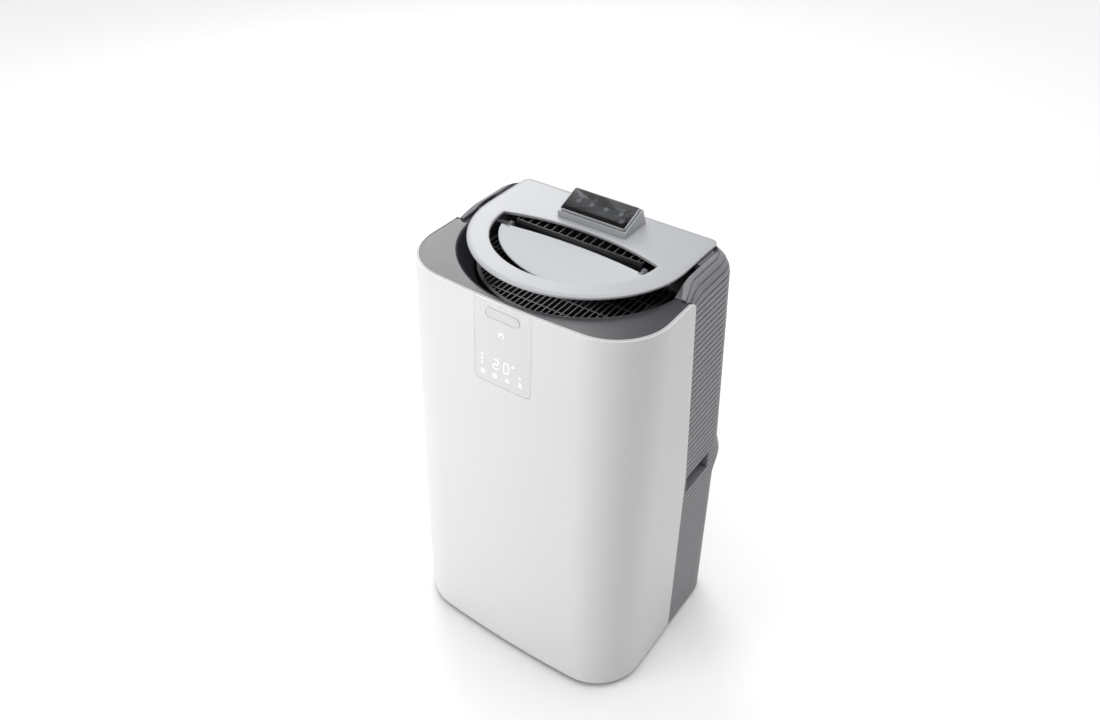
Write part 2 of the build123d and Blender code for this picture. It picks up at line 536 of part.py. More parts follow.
# ---- airflow flap and its motor ----
tilt = radians(FLAP_TILT)
flap_plane = Plane(origin=(0, HINGE_Y, HINGE_Z), x_dir=(1, 0, 0), z_dir=(0, -sin(tilt), cos(tilt)))
with BuildPart(flap_plane) as airflow_flap:
    with BuildSketch(flap_plane):
        with BuildLine():
            EllipticalCenterArc((0, -FLAP_END), FLAP_HALF, FLAP_FRONT - FLAP_END,
                                start_angle=180, arc_size=180)
            ThreePointArc((FLAP_HALF, -FLAP_END), (0, FLAP_BACK), (-FLAP_HALF, -FLAP_END))
        make_face()
    extrude(amount=3 * FLAP_RISE, both=True)
    with Locations((0, -FLAP_FRONT / 2, FLAP_RISE + sqrt(FLAP_DISH_R ** 2 - FLAP_HALF ** 2))):
        Sphere(FLAP_DISH_R + FLAP_THICK, mode=Mode.INTERSECT)
        Sphere(FLAP_DISH_R, mode=Mode.SUBTRACT)
    with Locations((EAR_X, 0, 0), (-EAR_X, 0, 0)):
        Cylinder(EAR_R, EAR_WIDTH, rotation=(0, 90, 0))
    with Locations((EAR_X, -EAR_R - FLAP_BACK / 2, FLAP_RISE / 2 - FLAP_THICK / 4),
                   (-EAR_X, -EAR_R - FLAP_BACK / 2, FLAP_RISE / 2 - FLAP_THICK / 4)):
        Box(EAR_WIDTH, EAR_R * 2, FLAP_RISE - FLAP_THICK)
    pin_length = LUG_INNER + LUG_WIDTH - EAR_X
    with Locations((EAR_X + pin_length / 2, 0, 0), (-EAR_X - pin_length / 2, 0, 0)):
        Cylinder(PIN_R, pin_length, rotation=(0, 90, 0))
finish(airflow_flap, "airflow_flap")

with BuildPart() as flap_motor:
    with Locations((LUG_INNER + LUG_WIDTH + SHELL_GAP + MOTOR_LENGTH / 2, HINGE_Y, HINGE_Z)):
        Cylinder(MOTOR_R, MOTOR_LENGTH, rotation=(0, 90, 0))
finish(flap_motor, "flap_motor")

# ---- rear shells with removable intake grilles ----
lower_top = KNEE_Z - SEAM


def lower_core(inset):
    """The lower ribbed body drawn in by inset."""
    return body_core(inset, REAR_STEP, BODY_BOTTOM, lower_top)


with BuildPart() as rear_lower_shell:
    add(lower_core(0))
    add(grooves(lower_core(GROOVE_DEPTH), BODY_BOTTOM, lower_top), mode=Mode.SUBTRACT)
    add(lower_core(SHELL_WALL), mode=Mode.SUBTRACT)
    add(edge_prism(SEAM, False), mode=Mode.SUBTRACT)
    add(rear_window(GRILLE_HALF + GRILLE_GAP, LOWER_GRILLE_Z, GRILLE_GAP), mode=Mode.SUBTRACT)
    for side in (-1, 1):
        with Locations((side * CUT / 2 + side * BODY_WIDTH / 4, sum(CUP_Y) / 2, sum(CUP_Z) / 2)):
            Box(CUT, CUP_Y[1] - CUP_Y[0], CUP_Z[1] - CUP_Z[0], mode=Mode.SUBTRACT)
    with Locations((0, CUT / 2, EXHAUST_Z)):
        Cylinder(EXHAUST_R + EXHAUST_WALL + SHELL_GAP, CUT, rotation=(90, 0, 0), mode=Mode.SUBTRACT)
    with Locations((DRAIN_X, CUT / 2, DRAIN_Z)):
        Cylinder(DRAIN_CUP_R + DRAIN_CUP_WALL + SHELL_GAP, CUT, rotation=(90, 0, 0), mode=Mode.SUBTRACT)
    with Locations((CORD_X, CUT / 2, CORD_Z)):
        Cylinder(GLAND_R + SHELL_GAP, CUT, rotation=(90, 0, 0), mode=Mode.SUBTRACT)
    add(screw_set(SCREW_RIBS_LOW, SCREW_GAP), mode=Mode.SUBTRACT)
finish(rear_lower_shell, "rear_lower_shell")

with BuildPart() as shoulder_hollow:
    add(shoulder_core(SHELL_WALL))
    add(shoulder_front(SHELL_WALL), mode=Mode.SUBTRACT)

with BuildPart() as rear_upper_shell:
    add(shoulder_core())
    add(grooves(shoulder_core(GROOVE_DEPTH), KNEE_Z, SHOULDER_Z - SHOULDER_R / 2), mode=Mode.SUBTRACT)
    add(shoulder_front(0), mode=Mode.SUBTRACT)
    add(shoulder_hollow.part, mode=Mode.SUBTRACT)
    add(edge_prism(SEAM, False), mode=Mode.SUBTRACT)
    with BuildSketch(Plane.XY.offset(RIM_Z)) as hatch:
        add(block(-HATCH_HALF, HATCH_HALF, -CUT, HATCH_BACK_Y))
        fillet(hatch.vertices().group_by(Axis.Y)[-1], HATCH_CORNER)
    extrude(amount=CUT, mode=Mode.SUBTRACT)
    add(rear_window(GRILLE_HALF + GRILLE_GAP, UPPER_GRILLE_Z, GRILLE_GAP), mode=Mode.SUBTRACT)
    add(screw_set(SCREW_RIBS_HIGH, SCREW_GAP), mode=Mode.SUBTRACT)
finish(rear_upper_shell, "rear_upper_shell")

for name, span, core in (("lower", LOWER_GRILLE_Z, lower_core), ("upper", UPPER_GRILLE_Z, shoulder_core)):
    with BuildPart() as intake_grille:
        add(core(0))
        add(core(SHELL_WALL), mode=Mode.SUBTRACT)
        add(rear_window(GRILLE_HALF, span), mode=Mode.INTERSECT)
        with Locations(*[(0, CUT / 2, z) for z in rib_heights(span[0] + SLOT_MARGIN, span[1] - SLOT_MARGIN)]):
            Box(2 * (GRILLE_HALF - SLOT_MARGIN), CUT, GROOVE, mode=Mode.SUBTRACT)
    finish(intake_grille, f"{name}_intake_grille")
    inner = (span[0] + FILTER_MARGIN, span[1] - FILTER_MARGIN)
    with BuildPart() as air_filter:
        add(core(SHELL_WALL))
        add(core(SHELL_WALL + FILTER_DEPTH), mode=Mode.SUBTRACT)
        add(rear_window(GRILLE_HALF - FILTER_MARGIN, inner), mode=Mode.INTERSECT)
        cell = (2 * (GRILLE_HALF - FILTER_MARGIN - FILTER_FRAME) + FILTER_BAR) / FILTER_BARS
        with Locations((0, CUT / 2, sum(inner) / 2)):
            with GridLocations(cell, 0, FILTER_BARS, 1):
                Box(cell - FILTER_BAR, CUT, inner[1] - inner[0] - 2 * FILTER_FRAME, mode=Mode.SUBTRACT)
    finish(air_filter, f"{name}_filter_frame")

# ---- hand grips, exhaust collar, drain, cord gland and screws ----
with BuildPart() as grip_cups:
    cup_low = half_width(CUP_Z[0]) - REAR_STEP - CUP_DEPTH
    for side in (-1, 1):
        with Locations((side * (cup_low + CUP_DEPTH / 2), sum(CUP_Y) / 2, sum(CUP_Z) / 2)):
            Box(CUP_DEPTH, CUP_Y[1] - CUP_Y[0] - 2 * SHELL_GAP, CUP_Z[1] - CUP_Z[0] - 2 * SHELL_GAP)
        with Locations((side * (cup_low + CUT / 2 + CUP_WALL), sum(CUP_Y) / 2, sum(CUP_Z) / 2)):
            Box(CUT, CUP_Y[1] - CUP_Y[0] - 2 * CUP_WALL, CUP_Z[1] - CUP_Z[0] - 2 * CUP_WALL,
                mode=Mode.SUBTRACT)
    add(body_core(0, REAR_STEP), mode=Mode.INTERSECT)
finish(grip_cups, "grip_cups")

exhaust_plane = Plane((0, EXHAUST_INNER_Y, EXHAUST_Z), x_dir=(1, 0, 0), z_dir=(0, 1, 0))
with BuildPart(exhaust_plane) as exhaust_collar:
    with BuildSketch(exhaust_plane):
        Circle(EXHAUST_R + EXHAUST_WALL)
        Circle(EXHAUST_R, mode=Mode.SUBTRACT)
    extrude(amount=EXHAUST_OUTER_Y - EXHAUST_INNER_Y)
    fillet(exhaust_collar.edges().group_by(Axis.Y)[-1], EXHAUST_WALL / 4)
finish(exhaust_collar, "exhaust_collar")

drain_face_y = rear_y(DRAIN_Z) - SHELL_GAP
drain_plane = Plane((DRAIN_X, drain_face_y - DRAIN_CUP_DEPTH, DRAIN_Z), x_dir=(1, 0, 0), z_dir=(0, 1, 0))
with BuildPart(drain_plane) as drain_spout:
    with BuildSketch(drain_plane):
        Circle(DRAIN_CUP_R + DRAIN_CUP_WALL)
    extrude(amount=DRAIN_CUP_DEPTH)
    with BuildSketch(drain_plane.offset(DRAIN_CUP_WALL)):
        Circle(DRAIN_CUP_R)
        Circle(DRAIN_R, mode=Mode.SUBTRACT)
    extrude(amount=CUT, mode=Mode.SUBTRACT)
    with BuildSketch(drain_plane.offset(DRAIN_CUP_WALL + DRAIN_SPIGOT)):
        Circle(DRAIN_R * 2)
    extrude(amount=CUT, mode=Mode.SUBTRACT)
    with BuildSketch(drain_plane.offset(-CUT / 2)):
        Circle(DRAIN_BORE)
    extrude(amount=CUT, mode=Mode.SUBTRACT)
finish(drain_spout, "drain_spout")

plug_plane = drain_plane.offset(DRAIN_CUP_WALL + SHELL_GAP)
with BuildPart(plug_plane) as drain_plug:
    with BuildSketch(plug_plane):
        Circle(DRAIN_CAP_R)
    extrude(amount=DRAIN_SPIGOT + DRAIN_CAP_END)
    fillet(drain_plug.edges().group_by(Axis.Y)[-1], DRAIN_CAP_END / 2)
    with BuildSketch(plug_plane):
        Circle(DRAIN_R + RUNNING_GAP)
    extrude(amount=DRAIN_SPIGOT, mode=Mode.SUBTRACT)
finish(drain_plug, "drain_plug")

gland_plane = Plane((CORD_X, rear_y(CORD_Z) - GLAND_LENGTH, CORD_Z), x_dir=(1, 0, 0), z_dir=(0, 1, 0))
with BuildPart(gland_plane) as cord_gland:
    with BuildSketch(gland_plane):
        Circle(GLAND_R)
    extrude(amount=GLAND_LENGTH)
    with BuildSketch(gland_plane.offset(GLAND_LENGTH - SHELL_WALL - SHELL_GAP - GLAND_FLANGE)):
        Circle(GLAND_FLANGE_R)
    extrude(amount=GLAND_FLANGE)
    with BuildSketch(gland_plane):
        Circle(CORD_R)
    extrude(amount=GLAND_LENGTH, mode=Mode.SUBTRACT)
finish(cord_gland, "cord_gland")

with BuildPart() as shell_screws:
    add(screw_set(SCREW_RIBS_LOW + SCREW_RIBS_HIGH, 0))
finish(shell_screws, "shell_screws")

# ---- base pan and castors ----
castor_places = [(x, y) for y in (CASTOR_FRONT_Y, CASTOR_REAR_Y) for x in (-CASTOR_X, CASTOR_X)]
with BuildPart() as base_pan:
    add(body_core(trim_inset, REAR_STEP, PAN_Z, PAN_WALL_TOP))
    add(body_core(trim_inset + PAN_WALL, REAR_STEP, PAN_Z + PAN_FLOOR, PAN_WALL_TOP), mode=Mode.SUBTRACT)
    with Locations(*[(x, y, PAN_Z) for x, y in castor_places]):
        Cylinder(POCKET_R + POCKET_WALL, POCKET_ROOF_Z + POCKET_WALL - PAN_Z, align=UPRIGHT)
        Cylinder(STEM_BOSS_R, STEM_TOP_Z - PAN_Z, align=UPRIGHT)
        Cylinder(POCKET_R, POCKET_ROOF_Z - PAN_Z, align=UPRIGHT, mode=Mode.SUBTRACT)
        Cylinder(STEM_R + RUNNING_GAP, STEM_TOP_Z - PAN_Z, align=UPRIGHT, mode=Mode.SUBTRACT)
    for x in (CORD_X, DRAIN_X):
        with Locations((x, drain_plane.origin.Y - SHELL_GAP + CUT / 2, DRAIN_Z)):
            Cylinder(DRAIN_CUP_R + DRAIN_CUP_WALL + SHELL_GAP, CUT, rotation=(90, 0, 0), mode=Mode.SUBTRACT)
finish(base_pan, "base_pan")

cheek_x = WHEEL_WIDTH / 2 + WHEEL_SIDE_GAP + CHEEK
for number, (x, y) in enumerate(castor_places, 1):
    with BuildPart() as castor_fork:
        with BuildSketch(Plane.YZ.offset(x)):
            with Locations((y, POCKET_ROOF_Z - THRUST_GAP - CROWN / 2)):
                Rectangle(2 * FORK_HALF, CROWN)
            with Locations((y + CASTOR_TRAIL, WHEEL_R)):
                Circle(FORK_END_R)
            make_hull()
            with Locations((y + CASTOR_TRAIL, WHEEL_R)):
                Circle(AXLE_R, mode=Mode.SUBTRACT)
        extrude(amount=cheek_x, both=True)
        with Locations((x, y, 0)):
            Box(2 * (cheek_x - CHEEK), CUT, 2 * (POCKET_ROOF_Z - THRUST_GAP - CROWN), mode=Mode.SUBTRACT)
        with Locations((x, y, POCKET_ROOF_Z - THRUST_GAP - CROWN)):
            Cylinder(FORK_HALF, CROWN, align=UPRIGHT)
            Cylinder(STEM_R, STEM_TOP_Z - POCKET_ROOF_Z + CROWN - STEM_SHY, align=UPRIGHT)
    finish(castor_fork, f"castor_fork_{number}")
    with BuildPart(Plane((x, y + CASTOR_TRAIL, WHEEL_R), x_dir=(0, 1, 0), z_dir=(1, 0, 0))) as castor_wheel:
        Cylinder(WHEEL_R, WHEEL_WIDTH)
        fillet(castor_wheel.edges().filter_by(GeomType.CIRCLE), TREAD_ROUND)
        Cylinder(AXLE_R + RUNNING_GAP, WHEEL_WIDTH, mode=Mode.SUBTRACT)
    finish(castor_wheel, f"castor_wheel_{number}")
    with BuildPart(Plane((x, y + CASTOR_TRAIL, WHEEL_R), x_dir=(0, 1, 0), z_dir=(1, 0, 0))) as castor_axle:
        Cylinder(AXLE_R, 2 * cheek_x)
    finish(castor_axle, f"castor_axle_{number}")

# ---- remote control in its dock ----
remote_tilt = radians(REMOTE_TILT)
remote_plane = Plane(origin=(0, REMOTE_FRONT_Y, REMOTE_FRONT_Z), x_dir=(1, 0, 0),
                     z_dir=(0, -sin(remote_tilt), cos(remote_tilt)))
remote_mid = REMOTE_WIDTH / 2
with BuildPart(remote_plane) as remote_body:
    with BuildSketch(remote_plane.offset(-REMOTE_THICK)) as remote_plan:
        with Locations((0, remote_mid)):
            Rectangle(REMOTE_LENGTH, REMOTE_WIDTH)
        fillet(remote_plan.vertices(), REMOTE_CORNER)
    extrude(amount=REMOTE_THICK)
    with BuildSketch(remote_plane.offset(-FACE_THICK)):
        with Locations((0, remote_mid)):
            Rectangle(REMOTE_LENGTH - 2 * FACE_RIM, REMOTE_WIDTH - 2 * FACE_RIM)
    extrude(amount=CUT, mode=Mode.SUBTRACT)
    with BuildSketch(remote_plane.offset(-FACE_THICK)):
        with Locations(*KEY_PLACES.values()):
            Circle(KEY_R + KEY_GAP)
    extrude(amount=-KEY_BELOW_FACE - KEY_TRAVEL, mode=Mode.SUBTRACT)
    with Locations((-DOOR_END + DOOR_LENGTH / 2, remote_mid, -REMOTE_THICK)):
        Box(DOOR_LENGTH + 2 * DOOR_GAP, DOOR_WIDTH + 2 * DOOR_GAP, 2 * (DOOR_THICK + DOOR_GAP),
            mode=Mode.SUBTRACT)
finish(remote_body, "remote_body")

with BuildPart(remote_plane) as remote_face:
    with BuildSketch(remote_plane.offset(-FACE_THICK)):
        with Locations((0, remote_mid)):
            Rectangle(REMOTE_LENGTH - 2 * FACE_RIM - KEY_GAP, REMOTE_WIDTH - 2 * FACE_RIM - KEY_GAP)
        with Locations(*KEY_PLACES.values()):
            Circle(KEY_R + KEY_GAP, mode=Mode.SUBTRACT)
    extrude(amount=FACE_THICK)
finish(remote_face, "remote_face")

for name, (x, y) in KEY_PLACES.items():
    with BuildPart(remote_plane) as remote_key:
        with BuildSketch(remote_plane.offset(-FACE_THICK - KEY_BELOW_FACE + KEY_GAP / 2)):
            with Locations((x, y)):
                Circle(KEY_R)
        extrude(amount=FACE_THICK + KEY_BELOW_FACE - KEY_GAP / 2 + KEY_PROUD)
    finish(remote_key, f"remote_key_{name}")

with BuildPart(remote_plane) as battery_door:
    with Locations((-DOOR_END + DOOR_LENGTH / 2, remote_mid, -REMOTE_THICK + DOOR_THICK / 2)):
        Box(DOOR_LENGTH, DOOR_WIDTH, DOOR_THICK)
finish(battery_door, "battery_door")

dock_half = REMOTE_LENGTH / 2 + DOCK_SIDE
with BuildPart() as remote_dock:
    with BuildSketch(Plane.YZ):
        with BuildLine():
            rest_front = remote_plane.from_local_coords((0, -DOCK_SIDE, -DOCK_LIP))
            rest_back = remote_plane.from_local_coords((0, REMOTE_WIDTH + DOCK_SIDE, -DOCK_LIP))
            Polyline((rest_front.Y, PLATE_Z), (rest_front.Y, rest_front.Z), (rest_back.Y, rest_back.Z),
                     (DOCK_BACK_Y, PLATE_Z), close=True)
        make_face()
    extrude(amount=dock_half, both=True)
    with BuildSketch(remote_plane.offset(-REMOTE_THICK - DOCK_GAP)):
        with Locations((-CUT / 2 + REMOTE_LENGTH / 2 + DOCK_GAP, remote_mid)):
            Rectangle(CUT, REMOTE_WIDTH + 2 * DOCK_GAP)
    extrude(amount=CUT, mode=Mode.SUBTRACT)
finish(remote_dock, "remote_dock")

# ---- machinery: deck, compressor, coils, fans and control box ----
with BuildPart() as partition_deck:
    add(body_core(trim_inset, REAR_STEP, DECK_Z, DECK_Z + DECK_LIP))
    add(body_core(trim_inset + DECK_LIP_WALL, REAR_STEP, DECK_Z + DECK_THICK, DECK_Z + DECK_LIP),
        mode=Mode.SUBTRACT)
    with Locations((ACCUMULATOR_X, ACCUMULATOR_Y, DECK_Z)):
        Cylinder(PIPE_R + PIPE_GAP, DECK_THICK, align=UPRIGHT, mode=Mode.SUBTRACT)
finish(partition_deck, "partition_deck")

with BuildPart(Plane.XY.offset(COMPRESSOR_LOW_Z)) as compressor:
    with Locations((COMPRESSOR_X, COMPRESSOR_Y)):
        Cylinder(COMPRESSOR_R, COMPRESSOR_HEIGHT, align=UPRIGHT)
        fillet(compressor.edges().group_by(Axis.Z)[-1], COMPRESSOR_ROUND)
        with PolarLocations(FOOT_CIRCLE, 3, 60):
            Cylinder(FOOT_R + FOOT_PLATE, FOOT_PLATE, align=UPRIGHT)
finish(compressor, "compressor")

with BuildPart(Plane.XY.offset(PAN_Z + PAN_FLOOR)) as compressor_feet:
    with Locations((COMPRESSOR_X, COMPRESSOR_Y)):
        with PolarLocations(FOOT_CIRCLE, 3, 60):
            Cylinder(FOOT_R, COMPRESSOR_LOW_Z - PAN_Z - PAN_FLOOR, align=UPRIGHT)
finish(compressor_feet, "compressor_feet")

with BuildPart(Plane.XY.offset(ACCUMULATOR_Z)) as accumulator:
    with Locations((ACCUMULATOR_X, ACCUMULATOR_Y)):
        Cylinder(ACCUMULATOR_R, ACCUMULATOR_HEIGHT, align=UPRIGHT)
    fillet(accumulator.edges().filter_by(GeomType.CIRCLE), ACCUMULATOR_R / 3)
finish(accumulator, "accumulator")

for name, face_y, low, high in (("condenser", CONDENSER_Y, STEM_TOP_Z, CONDENSER_TOP_Z),
                                ("evaporator", EVAPORATOR_Y, DECK_Z + DECK_THICK, EVAPORATOR_TOP_Z)):
    with BuildPart() as coil:
        with Locations((0, face_y + COIL_THICK / 2, low)):
            Box(2 * COIL_HALF, COIL_THICK, high - low, align=UPRIGHT)
        with Locations((0, face_y, (low + high) / 2)):
            with GridLocations(COIL_FIN_PITCH, 0, int(2 * COIL_HALF / COIL_FIN_PITCH) - 1, 1):
                Box(COIL_FIN, COIL_THICK / 2, high - low - 2 * COIL_FIN, mode=Mode.SUBTRACT)
    finish(coil, f"{name}_coil")

for name, fan in (("condenser", CONDENSER_FAN), ("evaporator", EVAPORATOR_FAN)):
    axis_plane = Plane((0, fan["y"], fan["z"]), x_dir=(0, 1, 0), z_dir=(1, 0, 0))
    half, case_half = fan["width"] / 2, fan["case_width"] / 2
    with BuildPart(axis_plane) as fan_wheel:
        with Locations((0, 0, half)):
            Cylinder(fan["wheel"], HUB_DISC)
            Cylinder(HUB_R, HUB_DISC * 4)
        with PolarLocations(fan["wheel"] - BLADE_DEPTH / 2, FAN_BLADES):
            Box(BLADE_DEPTH, BLADE_THICK, 2 * half)
        with Locations((0, 0, -half)):
            with BuildSketch(axis_plane.offset(-half)):
                Circle(fan["wheel"])
                Circle(fan["wheel"] - BLADE_DEPTH, mode=Mode.SUBTRACT)
            extrude(amount=HUB_DISC)
        Cylinder(SHAFT_R + RUNNING_GAP, CUT, mode=Mode.SUBTRACT)
    finish(fan_wheel, f"{name}_blower_wheel")
    motor_start = case_half + SHELL_GAP
    with BuildPart(axis_plane.offset(motor_start)) as fan_motor:
        Cylinder(FAN_MOTOR_R, FAN_MOTOR_LENGTH, align=UPRIGHT)
        fillet(fan_motor.edges().group_by(Axis.X)[-1], FAN_MOTOR_R / 5)
        with Locations((0, 0, half - 2 * HUB_DISC - motor_start)):
            Cylinder(SHAFT_R, motor_start - half + 2 * HUB_DISC, align=UPRIGHT)
    finish(fan_motor, f"{name}_blower_motor")
    with BuildPart() as fan_case:
        with Locations(axis_plane):
            Cylinder(fan["case"], fan["case_width"])
        if name == "condenser":
            add(solid_block(-case_half, case_half, fan["y"], ADAPTER_START_Y + CASE_WALL, ADAPTER_Z))
            add(solid_block(-ADAPTER_HALF, ADAPTER_HALF, ADAPTER_START_Y, EXHAUST_INNER_Y, ADAPTER_Z))
            add(solid_block(-case_half, case_half, *HANGER_Y, (fan["z"], DECK_Z)))
        else:
            add(solid_block(-case_half, case_half, *DUCT_Y, (fan["z"], WELL_FLOOR_Z - WELL_WALL)))
            add(solid_block(-PEDESTAL_HALF, PEDESTAL_HALF, *PEDESTAL_Y, (DECK_Z + DECK_THICK, fan["z"])))
        with Locations(axis_plane):
            Cylinder(fan["case"] - CASE_WALL, fan["case_width"] - 2 * CASE_WALL, mode=Mode.SUBTRACT)
            Cylinder(FAN_INLET_R, CUT, mode=Mode.SUBTRACT)
        if name == "condenser":
            duct_z = (ADAPTER_Z[0] + CASE_WALL, ADAPTER_Z[1] - CASE_WALL)
            add(solid_block(-case_half + CASE_WALL, case_half - CASE_WALL, fan["y"],
                            ADAPTER_START_Y + 2 * CASE_WALL, duct_z), mode=Mode.SUBTRACT)
            add(solid_block(-ADAPTER_HALF + CASE_WALL, ADAPTER_HALF - CASE_WALL, ADAPTER_START_Y + CASE_WALL,
                            EXHAUST_INNER_Y - CASE_WALL, duct_z), mode=Mode.SUBTRACT)
            with Locations(exhaust_plane):
                Cylinder(EXHAUST_R, 4 * CASE_WALL, mode=Mode.SUBTRACT)
        else:
            add(solid_block(-case_half + CASE_WALL, case_half - CASE_WALL, DUCT_Y[0] + CASE_WALL,
                            DUCT_Y[1] - CASE_WALL, (fan["z"], CUT)), mode=Mode.SUBTRACT)
    finish(fan_case, f"{name}_blower_case")

with BuildPart() as refrigerant_pipes:
    for points in DISCHARGE_PIPE, SUCTION_PIPE:
        with BuildLine() as route:
            FilletPolyline(*points, radius=PIPE_BEND)
        with BuildSketch(Plane(points[0], z_dir=(0, 0, 1))):
            Circle(PIPE_R)
        sweep(path=route.line)
finish(refrigerant_pipes, "refrigerant_pipes")

with BuildPart() as control_box:
    add(solid_block(*BOX_X, *BOX_Y, (DECK_Z + DECK_THICK, BOX_TOP_Z)))
    fillet(control_box.edges().filter_by(Axis.Z), BOX_ROUND)
finish(control_box, "control_box")
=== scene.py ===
"""Looks of the portable air conditioner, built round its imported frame.

Frame: X to the right, Y to the back, Z up, origin on the floor under the body.
Shape functions work in millimetres; make_piece turns their points into metres.
"""

import json
import math

import bmesh
import bpy
import numpy as np
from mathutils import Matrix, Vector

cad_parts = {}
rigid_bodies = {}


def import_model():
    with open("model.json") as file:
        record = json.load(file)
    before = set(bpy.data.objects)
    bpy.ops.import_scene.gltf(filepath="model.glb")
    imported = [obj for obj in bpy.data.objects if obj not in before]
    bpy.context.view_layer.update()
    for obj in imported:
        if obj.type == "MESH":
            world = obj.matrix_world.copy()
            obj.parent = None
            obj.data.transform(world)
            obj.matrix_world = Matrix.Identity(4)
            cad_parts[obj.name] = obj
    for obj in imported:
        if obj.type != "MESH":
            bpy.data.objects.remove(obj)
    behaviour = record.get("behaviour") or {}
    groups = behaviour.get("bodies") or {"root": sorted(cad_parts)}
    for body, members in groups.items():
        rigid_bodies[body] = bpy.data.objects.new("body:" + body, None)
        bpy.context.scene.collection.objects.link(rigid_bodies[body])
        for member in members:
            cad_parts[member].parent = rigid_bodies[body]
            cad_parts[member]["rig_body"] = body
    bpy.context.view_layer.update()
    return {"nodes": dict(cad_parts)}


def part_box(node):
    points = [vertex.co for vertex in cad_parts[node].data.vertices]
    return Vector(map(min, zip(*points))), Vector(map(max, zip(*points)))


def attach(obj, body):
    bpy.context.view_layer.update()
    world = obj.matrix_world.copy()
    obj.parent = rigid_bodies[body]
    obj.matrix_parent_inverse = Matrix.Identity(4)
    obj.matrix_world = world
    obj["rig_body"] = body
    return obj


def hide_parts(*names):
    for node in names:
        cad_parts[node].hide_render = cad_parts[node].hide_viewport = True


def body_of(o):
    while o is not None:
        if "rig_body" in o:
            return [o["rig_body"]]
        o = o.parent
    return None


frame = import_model()
METRE = 0.001                                    # metres in a millimetre

# ---- body law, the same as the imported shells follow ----
BODY_WIDTH, BODY_BOTTOM, RIM_Z = 440.0, 10.0, 737.0
WIDTH_LEAN, WIDTH_BOW = 4.75, 0.75
FRONT_MID_Y, FRONT_LEAN, FRONT_BOW_Z, FRONT_BOW_X = -173.5, 13.5, 3.5, 12.0
FRONT_CORNER, REAR_CORNER = 92.0, 60.0
REAR_BOTTOM_Y, REAR_KNEE_Y, REAR_TOP_Y, KNEE_Z, PLATE_Z = 177.5, 183.5, 157.0, 390.0, 758.0
GRIP_Z, GRIP_REACH, GRIP_TIGHTER = 344.0, 44.0, 20.0
EDGE_BOTTOM_Y, EDGE_KNEE_Y, EDGE_TOP_Y, EDGE_CORNER = 17.0, 27.5, 7.0, 10.0
SHELL_WALL, SHELL_GAP, SEAM, REAR_STEP = 3.0, 0.3, 0.6, 1.5
RIB_PITCH, GROOVE, GROOVE_DEPTH, GROOVE_ROUND = 11.0, 2.8, 2.5, 1.0
PANEL_HALF, PANEL_LOW_Z, PANEL_CORNER, PANEL_GAP = 50.8, 595.5, 10.0, 0.25
SHOULDER_R, SHOULDER_FRONT_R, SHOULDER_TOP_Z = 36.0, 16.0, 757.5
SHOULDER_RISE_Y = (-6.0, 46.0)                    # where the shoulder climbs from the rim to the plate
HATCH_HALF, HATCH_BACK_Y, HATCH_CORNER, COLLAR_LOW_Z = 187.0, 142.8, 30.0, 748.5


def smooth(t):
    """0 below 0, 1 above 1 and a smooth S between."""
    t = np.clip(t, 0.0, 1.0)
    return t * t * (3.0 - 2.0 * t)


def level(z):
    """Height z as -1 at the bottom of the body and 1 at its rim."""
    return (z - (RIM_Z + BODY_BOTTOM) / 2) / ((RIM_Z - BODY_BOTTOM) / 2)


def half_width(z):
    """Half width of the body at height z: a slight taper with a bow."""
    t = level(z)
    return BODY_WIDTH / 2 - WIDTH_LEAN * t - WIDTH_BOW * t * t


def front_y(z):
    """Foremost point at height z: the front leans back towards the top."""
    t = level(z)
    return FRONT_MID_Y + FRONT_LEAN * t + FRONT_BOW_Z * t * t


def rear_y(z):
    """Rearmost point at height z: nearly upright to the knee, then leaning forwards."""
    low = REAR_BOTTOM_Y + (REAR_KNEE_Y - REAR_BOTTOM_Y) * (z - BODY_BOTTOM) / (KNEE_Z - BODY_BOTTOM)
    high = REAR_KNEE_Y + (REAR_TOP_Y - REAR_KNEE_Y) * (z - KNEE_Z) / (PLATE_Z - KNEE_Z)
    return np.minimum(low, high)


def rear_corner(z):
    """Plan radius of the rear corners, tighter in a smooth bulge beside the hand grips."""
    return REAR_CORNER - GRIP_TIGHTER * smooth(1.0 - np.abs(z - GRIP_Z) / GRIP_REACH)


def edge_y(z):
    """Rear edge of the front shell at height z, before its top corner is rounded."""
    low = EDGE_BOTTOM_Y + (EDGE_KNEE_Y - EDGE_BOTTOM_Y) * (z - BODY_BOTTOM) / (KNEE_Z - BODY_BOTTOM)
    high = EDGE_KNEE_Y + (EDGE_TOP_Y - EDGE_KNEE_Y) * (z - KNEE_Z) / (RIM_Z - KNEE_Z)
    return np.minimum(low, high)


def edge_round(z):
    """How far the rear edge draws forward in its rounded top corner at height z."""
    rise = np.clip(z - (RIM_Z - EDGE_CORNER), 0.0, EDGE_CORNER)
    return EDGE_CORNER - np.sqrt(EDGE_CORNER ** 2 - rise ** 2)


